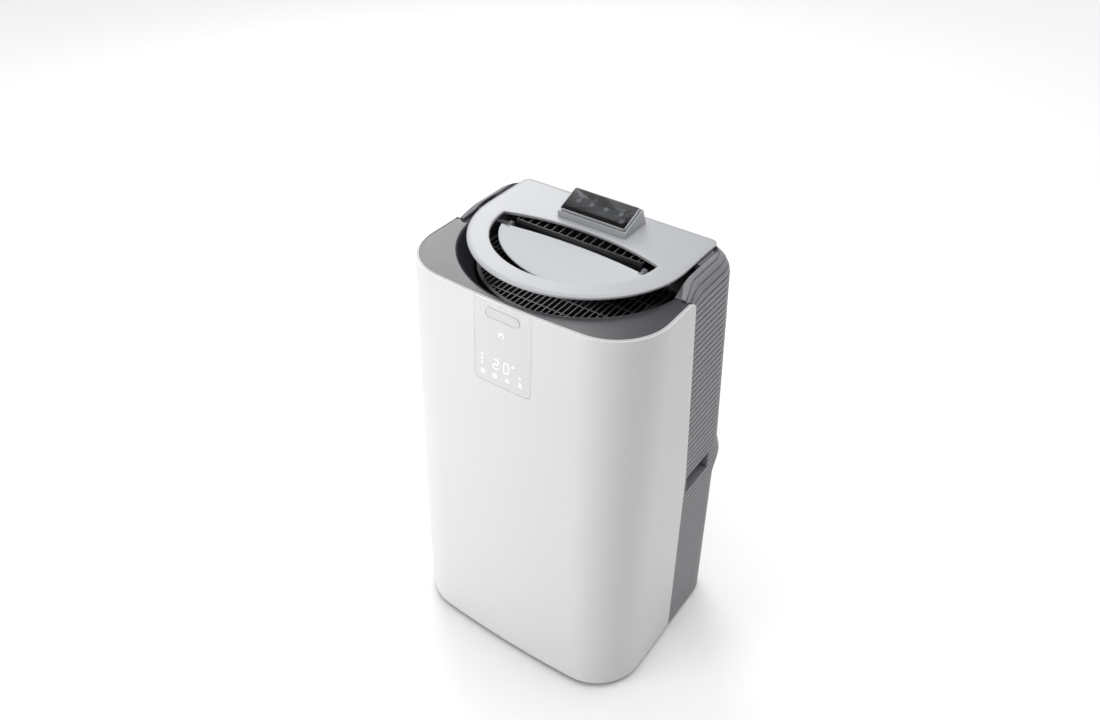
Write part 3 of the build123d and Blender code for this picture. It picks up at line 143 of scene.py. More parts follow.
def front_plan(u, z, inset=0.0):
    """Front plan point. |u| runs 0-1 across the display, 1-2 along the bowed front to the corner,
    2-3 round the corner arc and 3-4 straight back to the rear edge; the sign of u is the side."""
    a, side = np.abs(u), np.sign(u)
    half, front, r = half_width(z) - inset, front_y(z) + inset, FRONT_CORNER - inset
    bow = (half ** 2 + FRONT_BOW_X ** 2) / (2 * FRONT_BOW_X)
    middle = front + bow
    cx = half - r
    cy = middle - np.sqrt((bow - r) ** 2 - cx ** 2)
    start = np.arctan2(cy - middle, cx)
    x_end = cx * bow / (bow - r)
    panel = PANEL_HALF + PANEL_GAP
    x_front = np.where(a < 1, a * panel, panel + (a - 1) * (x_end - panel))
    x_front = np.minimum(x_front, x_end)
    turn = start * (3 - np.clip(a, 2, 3))
    back = edge_y(z) - edge_round(z)
    x = np.where(a < 2, x_front, np.where(a < 3, cx + r * np.cos(turn), half))
    y = np.where(a < 2, middle - np.sqrt(bow ** 2 - x_front ** 2),
                 np.where(a < 3, cy + r * np.sin(turn), cy + (a - 3) * (back - cy)))
    return side * x, y


def rear_plan(u, z, inset=0.0, gap=SEAM):
    """Rear plan point. |u| runs 0-1 along the flat back to the corner, 1-2 round the corner arc and
    2-3 straight forward to the seam with the front shell; the sign of u is the side."""
    a, side = np.abs(u), np.sign(u)
    half, rear = half_width(z) - REAR_STEP - inset, rear_y(z) - inset
    r = rear_corner(z) - inset
    turn = np.radians(90.0) * (np.clip(a, 1, 2) - 1)
    x = np.where(a < 1, a * (half - r), half - r + r * np.sin(turn))
    y_side = rear - r + (a - 2) * (edge_y(z) - edge_round(z) + gap - rear + r)
    y = np.where(a < 2, rear - r + r * np.cos(turn), y_side)
    return side * x, y


# ---- mesh makers ----
def add(name, data):
    """A new object with the given data, linked to the scene."""
    made = bpy.data.objects.new(name, data)
    bpy.context.scene.collection.objects.link(made)
    return made


def grid_quads(rows, columns, ring=False, keep=None):
    """Corner numbers of the quads of a rows by columns grid; ring joins the last column to the first."""
    wide = columns if ring else columns - 1
    r, c = np.meshgrid(np.arange(rows - 1), np.arange(wide), indexing="ij")
    nxt = (c + 1) % columns
    quads = np.stack([r * columns + c, r * columns + nxt, (r + 1) * columns + nxt, (r + 1) * columns + c], -1)
    return (quads if keep is None else quads[keep]).reshape(-1, 4)


def walled(outer, inner, keep=None):
    """Points and faces of a closed wall between two matching grids, with a rim round every border."""
    rows, columns = outer.shape[:2]
    quads = grid_quads(rows, columns, keep=keep)
    n = rows * columns
    ends = np.concatenate([quads[:, [k, (k + 1) % 4]] for k in range(4)])
    codes = ends[:, 0].astype(np.int64) * n + ends[:, 1]
    partners = ends[:, 1].astype(np.int64) * n + ends[:, 0]
    rim = ends[~np.isin(codes, partners)]
    rim_quads = np.stack([rim[:, 1], rim[:, 0], rim[:, 0] + n, rim[:, 1] + n], -1)
    faces = np.vstack([quads, quads[:, ::-1] + n, rim_quads])
    return np.concatenate([outer.reshape(-1, 3), inner.reshape(-1, 3)]), faces


def make_piece(name, points, faces, body, material, slot, replaces=(), away=None, crease=32.0):
    """A mesh from points in millimetres. With away, faces are turned to point away from that point."""
    points = np.asarray(points, float).reshape(-1, 3)
    faces = [tuple(int(i) for i in f) for f in faces]
    mesh = bpy.data.meshes.new(name)
    mesh.from_pydata((points * METRE).tolist(), [], faces)
    if away is not None:
        mesh.update()
        normals = np.zeros(len(mesh.polygons) * 3)
        centres = np.zeros(len(mesh.polygons) * 3)
        areas = np.zeros(len(mesh.polygons))
        mesh.polygons.foreach_get("normal", normals)
        mesh.polygons.foreach_get("center", centres)
        mesh.polygons.foreach_get("area", areas)
        lean = (normals.reshape(-1, 3) * (centres.reshape(-1, 3) - np.array(away) * METRE)).sum(1)
        if (lean * areas).sum() < 0:
            mesh.flip_normals()
    work = bmesh.new()
    work.from_mesh(mesh)
    bmesh.ops.remove_doubles(work, verts=work.verts, dist=0.002 * METRE)
    loose = [v for v in work.verts if not v.link_faces]
    bmesh.ops.delete(work, geom=loose, context="VERTS")
    work.to_mesh(mesh)
    work.free()
    piece = add(name, mesh)
    finish_piece(piece, body, material, replaces, crease)
    return piece


def finish_piece(piece, body, material, replaces=(), crease=32.0):
    """Shading, material and body of a piece."""
    mesh = piece.data
    mesh.shade_smooth()
    mesh.set_sharp_from_angle(angle=math.radians(crease))
    mesh.materials.clear()
    mesh.materials.append(material)
    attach(piece, body)
    if replaces:
        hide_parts(*replaces)


def thicken(piece, wall):
    """Gives an open surface a wall on its inner side."""
    solid = piece.modifiers.new("wall", "SOLIDIFY")
    solid.thickness = wall * METRE
    solid.offset = -1.0
    solid.use_even_offset = True
    solid.use_rim = True


def soften(piece, width, segments=2, angle=40.0):
    """Rounds the sharp edges of a piece."""
    bevel = piece.modifiers.new("edges", "BEVEL")
    bevel.width = width * METRE
    bevel.segments = segments
    bevel.limit_method = "ANGLE"
    bevel.angle_limit = math.radians(angle)
    bevel.harden_normals = True
    bevel.use_clamp_overlap = True


def settle(piece, crease=32.0):
    """Turns a piece's modifiers into its mesh."""
    graph = bpy.context.evaluated_depsgraph_get()
    mesh = bpy.data.meshes.new_from_object(piece.evaluated_get(graph))
    piece.modifiers.clear()
    old, piece.data = piece.data, mesh
    bpy.data.meshes.remove(old)
    mesh.shade_smooth()
    mesh.set_sharp_from_angle(angle=math.radians(crease))


def carve(piece, cutters, operation="DIFFERENCE", crease=32.0):
    """Cuts a piece with closed cutter meshes, or keeps what lies inside them, and drops the cutters."""
    for cutter in cutters:
        cut = piece.modifiers.new("cut", "BOOLEAN")
        cut.operation = operation
        cut.solver = "EXACT"
        cut.object = cutter
    settle(piece, crease)
    for cutter in cutters:
        mesh = cutter.data
        bpy.data.objects.remove(cutter)
        bpy.data.meshes.remove(mesh)


def cutter_along(axis, outline, start, end):
    """A closed prism of a 2-D outline along axis X, Y or Z between two places, to cut with."""
    outline = np.asarray(outline, float)
    n = len(outline)
    order = {"X": (2, 0, 1), "Y": (0, 2, 1), "Z": (0, 1, 2)}[axis]
    ends = [np.column_stack([outline, np.full(n, place)])[:, order] for place in (start, end)]
    points = np.vstack(ends)
    faces = [(i, (i + 1) % n, n + (i + 1) % n, n + i) for i in range(n)]
    faces += [tuple(range(n))[::-1], tuple(range(n, 2 * n))]
    mesh = bpy.data.meshes.new("cutter")
    mesh.from_pydata((points * METRE).tolist(), [], faces)
    work = bmesh.new()
    work.from_mesh(mesh)
    bmesh.ops.recalc_face_normals(work, faces=work.faces)
    work.to_mesh(mesh)
    work.free()
    return add("cutter", mesh)


def round_rectangle(x0, x1, y0, y1, r, steps=8):
    """Outline of a rectangle with round corners: four quarter circles joined by straight sides."""
    a = np.radians(np.linspace(0, 90, steps))
    corners = [(x1 - r, y1 - r, 0), (x0 + r, y1 - r, 90), (x0 + r, y0 + r, 180), (x1 - r, y0 + r, 270)]
    arcs = [(cx, cy, a + math.radians(t)) for cx, cy, t in corners]
    return np.vstack([np.column_stack([cx + r * np.cos(b), cy + r * np.sin(b)]) for cx, cy, b in arcs])


def circle(cx, cy, r, steps=48):
    """Outline of a circle."""
    a = np.linspace(0, 2 * np.pi, steps, endpoint=False)
    return np.column_stack([cx + r * np.cos(a), cy + r * np.sin(a)])


def refined(node, material, bevel=0.4, crease=30.0, segments=2):
    """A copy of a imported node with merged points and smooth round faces, and with a bevel also with its
    flat faces made whole and its edges softened."""
    source = frame["nodes"][node]
    mesh = source.data.copy()
    work = bmesh.new()
    work.from_mesh(mesh)
    bmesh.ops.remove_doubles(work, verts=work.verts, dist=0.005 * METRE)
    if bevel:
        bmesh.ops.dissolve_limit(work, angle_limit=math.radians(1.0), verts=work.verts, edges=work.edges)
    work.to_mesh(mesh)
    work.free()
    piece = add("fine_" + node, mesh)
    finish_piece(piece, body_of(source)[0], material, (node,), crease)
    if bevel:
        soften(piece, bevel, segments, 38.0)
    return piece


# ---- finishes ----
class Value:
    """A shader number that takes part in Python arithmetic by adding Math nodes."""

    def __init__(self, finish, socket):
        self.finish, self.socket = finish, socket

    def math(self, operation, *others):
        return self.finish.node("ShaderNodeMath", {"operation": operation}, dict(enumerate((self, *others))))

    def __add__(self, other): return self.math("ADD", other)
    def __sub__(self, other): return self.math("SUBTRACT", other)
    def __mul__(self, other): return self.math("MULTIPLY", other)
    def __radd__(self, other): return self.math("ADD", other)
    def __rmul__(self, other): return self.math("MULTIPLY", other)

    def __rsub__(self, other):
        return self.finish.node("ShaderNodeMath", {"operation": "SUBTRACT"}, {0: other, 1: self})


class Finish:
    """One procedural material, grown node by node round a Principled shader."""

    def __init__(self, name, roughness, **uniform):
        self.material = bpy.data.materials.new(name)
        self.material.use_nodes = True
        self.tree = self.material.node_tree
        self.shader = self.tree.nodes["Principled BSDF"]
        self.shader.inputs["Roughness"].default_value = roughness
        for key, value in uniform.items():
            self.shader.inputs[key.replace("_", " ")].default_value = value
        place = self.tree.nodes.new("ShaderNodeTexCoord")
        self.place = Value(self, place.outputs["Object"])

    def node(self, kind, settings=None, inputs=None, output=0):
        """Adds a node of a kind with its settings first, then the values or links of its sockets."""
        made = self.tree.nodes.new(kind)
        for key, value in (settings or {}).items():
            if key == "stops":
                for i, (position, colour) in enumerate(value):
                    stop = made.color_ramp.elements[i] if i < 2 else made.color_ramp.elements.new(position)
                    stop.position, stop.color = position, colour
            else:
                setattr(made, key, value)
        for key, value in (inputs or {}).items():
            if isinstance(value, Value):
                self.tree.links.new(value.socket, made.inputs[key])
            else:
                made.inputs[key].default_value = value
        return Value(self, made.outputs[output])

    def feed(self, socket, value):
        self.tree.links.new(value.socket, self.shader.inputs[socket])

    def noise(self, size_mm, detail=2.0, stretch=None):
        """Noise whose features are about size_mm across, drawn out where stretch says."""
        where = self.place
        if stretch:
            where = self.node("ShaderNodeMapping", None, {0: self.place, 3: stretch})
        return self.node("ShaderNodeTexNoise", None, {0: where, 2: 1.0 / (size_mm * METRE), 3: detail})

    def tint(self, dark, light, factor):
        """Blends two colours by a number."""
        ends = {0: factor, 6: (*dark, 1), 7: (*light, 1)}
        colour = self.node("ShaderNodeMix", {"data_type": "RGBA"}, ends, 2)
        self.feed("Base Color", colour)
        return colour

    def bump(self, height, strength, distance_mm):
        normal = self.node("ShaderNodeBump", None,
                           {"Strength": strength, "Distance": distance_mm * METRE, "Height": height})
        self.feed("Normal", normal)


def shade(colour, factor):
    """A colour made lighter or darker."""
    return tuple(min(1.0, c * factor) for c in colour)


def moulded(name, colour, roughness, grain_mm, grain_depth, vary=0.05, mottle_mm=60.0, **uniform):
    """Injection-moulded plastic: fine grain in the surface and a faint cloudiness of colour and gloss."""
    finish = Finish(name, roughness, **uniform)
    cloud = finish.noise(mottle_mm, 3.0)
    finish.tint(shade(colour, 1 - vary), shade(colour, 1 + vary), cloud)
    finish.feed("Roughness", (cloud - 0.5) * 0.10 + roughness)
    finish.bump(finish.noise(grain_mm, 3.0), 0.35, grain_depth)
    return finish.material


def brushed(name, colour, roughness, stretch, metallic=1.0):
    """Metal with fine lines drawn out along one axis."""
    finish = Finish(name, roughness, Metallic=metallic)
    lines = finish.noise(0.8, 3.0, stretch)
    finish.tint(shade(colour, 0.86), shade(colour, 1.08), lines)
    finish.feed("Roughness", (lines - 0.5) * 0.22 + roughness)
    finish.bump(lines, 0.25, 0.05)
    return finish.material


def painted(name, colour, roughness):
    """Sprayed paint with a slight orange peel."""
    finish = Finish(name, roughness)
    cloud = finish.noise(40.0)
    finish.tint(shade(colour, 0.9), shade(colour, 1.15), cloud)
    finish.feed("Coat Weight", cloud * 0.3)
    finish.bump(finish.noise(2.5), 0.3, 0.12)
    return finish.material


def finned(name):
    """Thin aluminium fins 1.6 mm apart, standing side by side along X, drawn as bands: light fin edges with
    painted shade in the gaps between them.
    """
    finish = Finish(name, 0.4, Metallic=0.9)
    fins_and_gap_shade = finish.node("ShaderNodeTexWave", {"wave_type": "BANDS", "bands_direction": "X"},
                         {0: finish.place, 1: 196.0, 2: 0.0}, 1)
    # the dark bands are painted shade in the gaps between the fins, the light bands the fin edges
    finish.tint((0.18, 0.18, 0.19), (0.80, 0.81, 0.82), fins_and_gap_shade)
    finish.bump(fins_and_gap_shade, 0.6, 0.6)
    return finish.material


def netting(name):
    """Fine filter net: dark threads a little over a millimetre apart with open gaps between them."""
    finish = Finish(name, 0.7)
    threads = [finish.node("ShaderNodeTexWave", {"wave_type": "BANDS", "bands_direction": axis},
                           {0: finish.place, 1: 262.0, 2: 0.0}, 1) for axis in ("X", "Z")]
    cover = threads[0].math("MAXIMUM", threads[1])
    finish.tint((0.03, 0.03, 0.032), (0.10, 0.10, 0.105), cover)
    finish.feed("Alpha", cover.math("GREATER_THAN", 0.62))
    return finish.material


WHITE_SHELL = moulded("white_shell", (0.63, 0.63, 0.632), 0.34, 1.3, 0.015, 0.012, Coat_Weight=0.15)
LIGHT_TRIM = moulded("light_trim", (0.66, 0.66, 0.67), 0.38, 1.0, 0.01, 0.03)
PANEL_WHITE = moulded("panel_white", (0.60, 0.602, 0.605), 0.24, 1.6, 0.01, 0.01, Coat_Weight=0.35)
BADGE_WHITE = moulded("badge_white", (0.57, 0.57, 0.575), 0.3, 1.0, 0.01, 0.01, Coat_Weight=0.2)
LIT_MARK = Finish("lit_mark", 0.4, Emission_Strength=0.35)
LIT_MARK.tint((0.90, 0.90, 0.90), (0.97, 0.97, 0.97), LIT_MARK.noise(4.0))
LIT_MARK.shader.inputs["Emission Color"].default_value = (1, 1, 1, 1)
LIT_MARK = LIT_MARK.material
BEZEL_GREY = moulded("bezel_grey", (0.04, 0.041, 0.047), 0.28, 0.7, 0.03, 0.04)
RIB_GREY = moulded("rib_grey", (0.225, 0.228, 0.24), 0.48, 0.7, 0.03, 0.04)
GRIP_GREY = moulded("grip_grey", (0.19, 0.194, 0.206), 0.5, 0.7, 0.03, 0.04)
NECK_GREY = moulded("neck_grey", (0.16, 0.165, 0.18), 0.45, 0.8, 0.02, 0.04)
DARK_PLASTIC = moulded("dark_plastic", (0.05, 0.05, 0.055), 0.5, 0.7, 0.03, 0.06)
BLACK_PLASTIC = moulded("black_plastic", (0.02, 0.02, 0.023), 0.45, 0.8, 0.02, 0.08)
COVER_WHITE = moulded("cover_white", (0.45, 0.46, 0.475), 0.36, 1.5, 0.004, 0.012)
FLAP_GLOSS = moulded("flap_gloss", (0.50, 0.52, 0.545), 0.16, 2.0, 0.006, 0.012, Coat_Weight=0.6)
REMOTE_DARK = moulded("remote_dark", (0.055, 0.06, 0.068), 0.36, 0.9, 0.003, 0.03)
KEY_RUBBER = moulded("key_rubber", (0.085, 0.09, 0.10), 0.6, 0.6, 0.01, 0.05)
PALE_PRINT = moulded("pale_print", (0.20, 0.21, 0.22), 0.45, 0.8, 0.004, 0.04)
RUBBER = moulded("rubber", (0.018, 0.018, 0.018), 0.7, 0.6, 0.05, 0.12)
TREAD = moulded("wheel_tread", (0.03, 0.03, 0.032), 0.42, 0.6, 0.03, 0.10)
TRAY_PLASTIC = moulded("tray_plastic", (0.30, 0.30, 0.31), 0.5, 1.0, 0.03, 0.06)
STEEL = brushed("steel", (0.55, 0.55, 0.56), 0.33, (1.0, 1.0, 18.0))
COPPER = brushed("copper", (0.72, 0.36, 0.20), 0.28, (1.0, 1.0, 12.0))
BLACK_PAINT = painted("black_paint", (0.02, 0.02, 0.022), 0.35)
BOX_STEEL = painted("box_steel", (0.42, 0.43, 0.44), 0.4)
BOARD_GREEN = moulded("board_green", (0.02, 0.12, 0.05), 0.4, 1.2, 0.05, 0.25, 9.0)
COIL_FINS = finned("coil_fins")
FILTER_NET = netting("filter_net")


# ---- front shell, display and trim ----
def side_steps(*counts):
    """Values of |u| with the given number of steps in each unit stretch, then mirrored to both sides."""
    half = np.concatenate([i + np.arange(n) / n for i, n in enumerate(counts)] + [[float(len(counts))]])
    return np.concatenate([-half[:0:-1], half])


def window_low(x):
    """Lower edge of the display opening at x: level, turning up in quarter circles at both ends."""
    over = np.clip(np.abs(x) - (PANEL_HALF + PANEL_GAP - PANEL_CORNER), 0, PANEL_CORNER)
    return PANEL_LOW_Z - PANEL_GAP + PANEL_CORNER - np.sqrt(PANEL_CORNER ** 2 - over ** 2)


def panel_steps(count):
    """|u| across the display, closer together in the corner so that its quarter circle is round."""
    flat = 1 - PANEL_CORNER / (PANEL_HALF + PANEL_GAP)
    bend = flat + (1 - flat) * np.sin(np.radians(np.linspace(0, 90, count)))
    return np.concatenate([np.linspace(0, flat, count)[:-1], bend])


def front_shell():
    """The white shell: at each height the front plan, from one rear edge round to the other, with the
    bottom rolled in and the display opening left out."""
    across = panel_steps(9)
    steps = side_steps(1, 14, 22, 16)
    half = np.concatenate([across[:-1], steps[steps >= 1]])
    u = np.concatenate([-half[:0:-1], half])
    low_rows = np.concatenate([[0, 0.0015, 0.004], np.linspace(0.008, 1, 44)])
    rounding = 1 - np.sin(np.radians(np.linspace(0, 90, 10)))
    corner_rows = 1 - EDGE_CORNER / (RIM_Z - PANEL_LOW_Z) * rounding
    high_rows = np.unique(np.concatenate([np.linspace(0, 1, 12), corner_rows]))
    x_wide = np.where(np.abs(u) <= 1, u * (PANEL_HALF + PANEL_GAP), PANEL_HALF + PANEL_GAP)
    split = window_low(x_wide)
    low = BODY_BOTTOM + (split - BODY_BOTTOM) * low_rows[:, None]
    high = split + (RIM_Z - split) * high_rows[1:, None]
    z = np.vstack([low, high])
    roll = 2.2 * np.clip(1 - (z - BODY_BOTTOM) / 5.0, 0, 1) ** 2
    u_grid = np.broadcast_to(u, z.shape)
    layers = [np.stack([*front_plan(u_grid, z, roll + wall), z], -1) for wall in (0.0, SHELL_WALL)]
    keep = np.ones((len(z) - 1, len(u) - 1), bool)
    inside = (np.abs(u[:-1]) <= 1 + 1e-6) & (np.abs(u[1:]) <= 1 + 1e-6)
    keep[len(low_rows) - 1:, inside] = False
    shell = make_piece("white_front_shell", *walled(*layers, keep), "housing", WHITE_SHELL, "white_shell",
                       ("front_shell",))
    close_out(shell)
    soften(shell, 0.7, 3)


def display_panel():
    """The display window: the same front surface between the opening's edges, one gap smaller."""
    across = panel_steps(9)
    u = np.concatenate([-across[:0:-1], across])
    x = u * PANEL_HALF
    low = window_low(u * (PANEL_HALF + PANEL_GAP)) + 2 * PANEL_GAP
    z = low + (RIM_Z - low) * np.linspace(0, 1, 14)[:, None]
    x = np.broadcast_to(x, z.shape)
    _, y = front_plan(x / (PANEL_HALF + PANEL_GAP), z)
    panel = make_piece("display_window", np.stack([x, y, z], -1), grid_quads(*z.shape), "housing",
                       PANEL_WHITE, "display", ("display_panel",), (0, 60, 370))
    thicken(panel, SHELL_WALL)
    soften(panel, 0.45, 3)


def on_front(outline, proud):
    """Lays 2-D (x, z) points on the front surface, standing proud by the given amount."""
    x, z = outline[..., 0], outline[..., 1]
    _, y = front_plan(x / (PANEL_HALF + PANEL_GAP), z)
    return np.stack([x, y - proud, z], -1)


def stadium(cx, cz, half, r, steps=12):
    """Outline of a rectangle with half-circle ends."""
    a = np.radians(np.linspace(-90, 90, steps))
    right = np.column_stack([cx + half - r + r * np.cos(a), cz + r * np.sin(a)])
    left = np.column_stack([cx - half + r - r * np.cos(a), cz - r * np.sin(a)])
    return np.vstack([right, left])


BADGE_HALF, BADGE_R, BADGE_Z = 31.0, 9.0, 717.5


def badge():
    """A blank oval badge: stadium outlines from the foot to a rounded rim, a step down and a flat face."""
    rings = [(0.0, -0.1), (0.0, 0.55), (0.25, 0.85), (0.6, 0.95), (1.2, 0.95), (1.6, 0.8), (1.8, 0.35),
             (2.1, 0.2), (2.6, 0.2), (3.4, 0.3), (8.2, 0.45)]
    points = np.stack([on_front(stadium(0, BADGE_Z, BADGE_HALF - d, BADGE_R - d), h) for d, h in rings])
    n = points.shape[1]
    faces = list(grid_quads(len(rings), n, ring=True)) + [tuple(range((len(rings) - 1) * n, len(rings) * n))]
    make_piece("badge_plate", points, faces, "housing", BADGE_WHITE, "badge", ("oval_badge",),
               (0, 60, BADGE_Z), 50.0)


def ring_mark(cx, cz, r, wide, start=0.0, end=360.0):
    """An arc band of the given width."""
    a = np.radians(np.linspace(start, end, 25))
    radii = (r + wide / 2, r - wide / 2)
    return np.stack([np.column_stack([cx + q * np.cos(a), cz + q * np.sin(a)]) for q in radii])


def stroke_mark(x0, z0, x1, z1, wide):
    """A straight band between two points."""
    a, b = np.array([x0, z0], float), np.array([x1, z1], float)
    side = np.array([z0 - z1, x1 - x0], float) / np.hypot(x1 - x0, z1 - z0) * wide / 2
    return np.stack([[a + side, b + side], [a - side, b - side]])


def seven_segments(digit, cx, cz, half, tall, wide):
    """Bands of a seven-segment figure."""
    lit = {0: "abcdef", 2: "abged"}[digit]
    top, bottom = cz + tall, cz - tall
    ends = {"a": (-half, top, half, top), "b": (half, top, half, cz), "c": (half, cz, half, bottom),
            "d": (-half, bottom, half, bottom), "e": (-half, cz, -half, bottom), "f": (-half, top, -half, cz),
            "g": (-half, cz, half, cz)}
    short = 0.9
    bands = []
    for key in lit:
        x0, z0, x1, z1 = ends[key]
        dx, dz = np.sign(x1 - x0) * short, np.sign(z1 - z0) * short
        bands.append(stroke_mark(cx + x0 + dx, z0 + dz, cx + x1 - dx, z1 - dz, wide))
    return bands


def marks_piece(name, bands, lay, body, material, slot, away):
    """One thin piece from many bands, each a 2 by n grid laid on a surface."""
    points, faces, count = [], [], 0
    for strip in bands:
        laid = lay(strip)
        faces += [tuple(f + count) for f in grid_quads(2, laid.shape[1])]
        points.append(laid.reshape(-1, 3))
        count += laid.shape[0] * laid.shape[1]
    return make_piece(name, np.vstack(points), faces, body, material, slot, (), away)


def display_marks():
    """Lit signs behind the display: a start ring, level dots, the set temperature and a row of modes."""
    bands = [ring_mark(-2, 686, 4.2, 1.3, -60, 240), stroke_mark(-2, 687, -2, 692, 1.3)]
    for z in (642, 634, 626):
        bands.append(ring_mark(-37, z, 0.9, 1.8))
    bands += seven_segments(2, -12, 633, 4.6, 8.2, 1.7) + seven_segments(0, 7, 633, 4.6, 8.2, 1.7)
    bands.append(ring_mark(19.5, 641, 1.6, 1.0))
    bands += [stroke_mark(-36 + d, 607, -36 + d, 616, 1.0) for d in (-3, 0, 3)]
    bands += [ring_mark(-14, 612, 3.6, 1.0), stroke_mark(-14, 612, -14, 614.5, 1.0)]
    bands.append(stroke_mark(-14, 612, -12, 612, 1.0))
    for a in np.radians([0, 60, 120]):
        x, z = 4 * math.cos(a), 4 * math.sin(a)
        bands.append(stroke_mark(9 + x, 612 + z, 9 - x, 612 - z, 0.9))
    bands += [ring_mark(32, 612 + d, 2.6, 0.9, 20, 160) for d in (-3, 0, 3)]
    bands.append(ring_mark(31.5, 626, 1.5, 0.9))
    marks_piece("display_signs", bands, lambda p: on_front(p, 0.12), "housing", LIT_MARK, "display",
                (0, 60, 650))


def shell_trim():
    """The light line inside the rim: a small rounded section carried along the front plan."""
    u = side_steps(6, 14, 22, 14)
    section = [(2.0, -5.2), (0.0, -5.2), (0.0, 0.3), (0.5, 0.8), (1.5, 0.8), (2.0, 0.3)]
    rings = []
    for inset, rise in section:
        x, y = front_plan(u, np.full_like(u, RIM_Z), 3.3 + inset)
        rings.append(np.stack([x, y, np.full_like(u, RIM_Z + rise)], -1))
    n = len(u)
    faces = list(grid_quads(len(section), n)) + [
        (i, (len(section) - 1) * n + i, (len(section) - 1) * n + i + 1, i + 1) for i in range(n - 1)]
    first = [k * n for k in range(len(section))]
    faces += [tuple(first), tuple(i + n - 1 for i in first[::-1])]
    trim = make_piece("rim_trim", np.stack(rings), faces, "housing", LIGHT_TRIM, "light_trim",
                      ("shell_trim",))
    close_out(trim)


def close_out(piece):
    """Turns all faces of a closed piece outwards."""
    work = bmesh.new()
    work.from_mesh(piece.data)
    bmesh.ops.recalc_face_normals(work, faces=work.faces)
    work.to_mesh(piece.data)
    work.free()


# ---- top bezel and air well ----
WELL_HALF, WELL_DEPTH, WELL_CENTRE_Y, WELL_BACK_Y = 184.0, 165.0, 25.0, 71.0
WELL_FLOOR_Z, WELL_TAPER = 698.0, 26.0
BEZEL_INSET, BEZEL_Z, WELL_LIP = 5.6, 736.7, 6.0


def well_plan(v, grow):
    """Plan of the air well, grown by an amount: v runs 0-1 round the front half-ellipse from right to
    left, then 1-2 along the left side, the back and the right side."""
    half, depth, back = WELL_HALF + grow, WELL_DEPTH + grow, WELL_BACK_Y + grow
    a = -np.pi * np.clip(v, 0, 1)
    w = np.clip(v - 1, 0, 1) * (2 * (back - WELL_CENTRE_Y) + 2 * half)
    side = back - WELL_CENTRE_Y
    x = np.where(v <= 1, half * np.cos(a), np.clip(w - side, 0, 2 * half) - half)
    y = np.where(v <= 1, WELL_CENTRE_Y + depth * np.sin(a),
                 WELL_CENTRE_Y + np.minimum(np.minimum(w, side), 2 * side + 2 * half - w))
    return x, y


def bezel():
    """The grey ring between the rim and the well and the well's wall: from the outer plan across the
    flat, over a rounded lip and down the leaning wall to the floor."""
    n = 97
    v = np.linspace(0, 1, n)
    ux = np.interp(v, [0, 0.1, 0.28, 0.5, 0.72, 0.9, 1], [4.0, 3.0, 2.0, 0.0, -2.0, -3.0, -4.0])
    ox, oy = front_plan(ux, np.full(n, RIM_Z), BEZEL_INSET)
    rows = [np.stack([ox, oy, np.full(n, BEZEL_Z - 4.5)], -1), np.stack([ox, oy, np.full(n, BEZEL_Z)], -1)]
    wx, wy = well_plan(v, WELL_LIP)
    for t in (0.25, 0.5, 0.75):
        rows.append(np.stack([ox + (wx - ox) * t, oy + (wy - oy) * t, np.full(n, BEZEL_Z)], -1))
    for angle in np.radians(np.linspace(0, 80, 8)):
        wx, wy = well_plan(v, WELL_LIP * (1 - np.sin(angle)))
        rows.append(np.stack([wx, wy, np.full(n, BEZEL_Z - WELL_LIP * (1 - np.cos(angle)))], -1))
    for t in (0.3, 0.65, 1.0):
        wx, wy = well_plan(v, -WELL_TAPER * t)
        height = BEZEL_Z - WELL_LIP + (WELL_FLOOR_Z - BEZEL_Z + WELL_LIP) * t
        rows.append(np.stack([wx, wy, np.full(n, height)], -1))
    ring = make_piece("bezel_ring", np.stack(rows), grid_quads(len(rows), n), "housing", BEZEL_GREY,
                      "dark_bezel", ("top_bezel",), (0, 0, -4000), 60.0)
    thicken(ring, 2.0)
    v = np.linspace(1, 2, 61)
    rows = []
    for z, grow in ((BEZEL_Z, 0.0), (WELL_FLOOR_Z + 12, -WELL_TAPER * 0.66), (WELL_FLOOR_Z, -WELL_TAPER)):
        wx, wy = well_plan(v, grow)
        rows.append(np.stack([wx, wy, np.full(61, z)], -1))
    wall = make_piece("well_back_wall", np.stack(rows), grid_quads(3, 61), "housing", DARK_PLASTIC,
                      "dark_bezel", (), (0, 20, -9000))
    thicken(wall, 2.0)


# ---- cover plate and flap ----
PLATE_HALF, PLATE_DEPTH, PLATE_CENTRE_Y, PLATE_BACK_Y, PLATE_CORNER = 178.0, 170.0, 43.0, 142.0, 12.0
PLATE_THICK, PLATE_BAND, PLATE_BAND_DROP = 5.0, 6.5, 0.9
OPENING_HALF, OPENING_DEPTH, OPENING_CENTRE_Y, OPENING_BULGE = 138.0, 121.0, 28.0, 23.0


def plate_outer(v, inset=0.0):
    """Outer plan of the plate: v 0-1 round the front half-ellipse from right to left, 1-2 up the left
    side, 2-3 along the back with its round corners, 3-4 down the right side."""
    half, depth, back, r = PLATE_HALF - inset, PLATE_DEPTH - inset, PLATE_BACK_Y - inset, PLATE_CORNER - inset
    a = -np.pi * np.clip(v, 0, 1)
    corner = np.pi / 2 * r
    run = 2 * corner + 2 * (half - r)
    s = np.clip(v - 2, 0, 1) * run
    turn_a = np.clip(s / corner, 0, 1) * np.pi / 2
    turn_b = np.clip((s - corner - 2 * (half - r)) / corner, 0, 1) * np.pi / 2
    mid = np.clip(s - corner, 0, 2 * (half - r))
    x_back = -half + r - r * np.cos(turn_a) + mid + r * np.sin(turn_b)
    y_back = back - r + r * np.sin(turn_a) - r * (1 - np.cos(turn_b))
    x = np.select([v <= 1, v <= 2, v <= 3], [half * np.cos(a), -half, x_back], half)
    side = back - r - PLATE_CENTRE_Y
    y = np.select([v <= 1, v <= 2, v <= 3],
                  [PLATE_CENTRE_Y + depth * np.sin(a), PLATE_CENTRE_Y + (v - 1) * side, y_back],
                  back - r - (v - 3) * side)
    return x, y


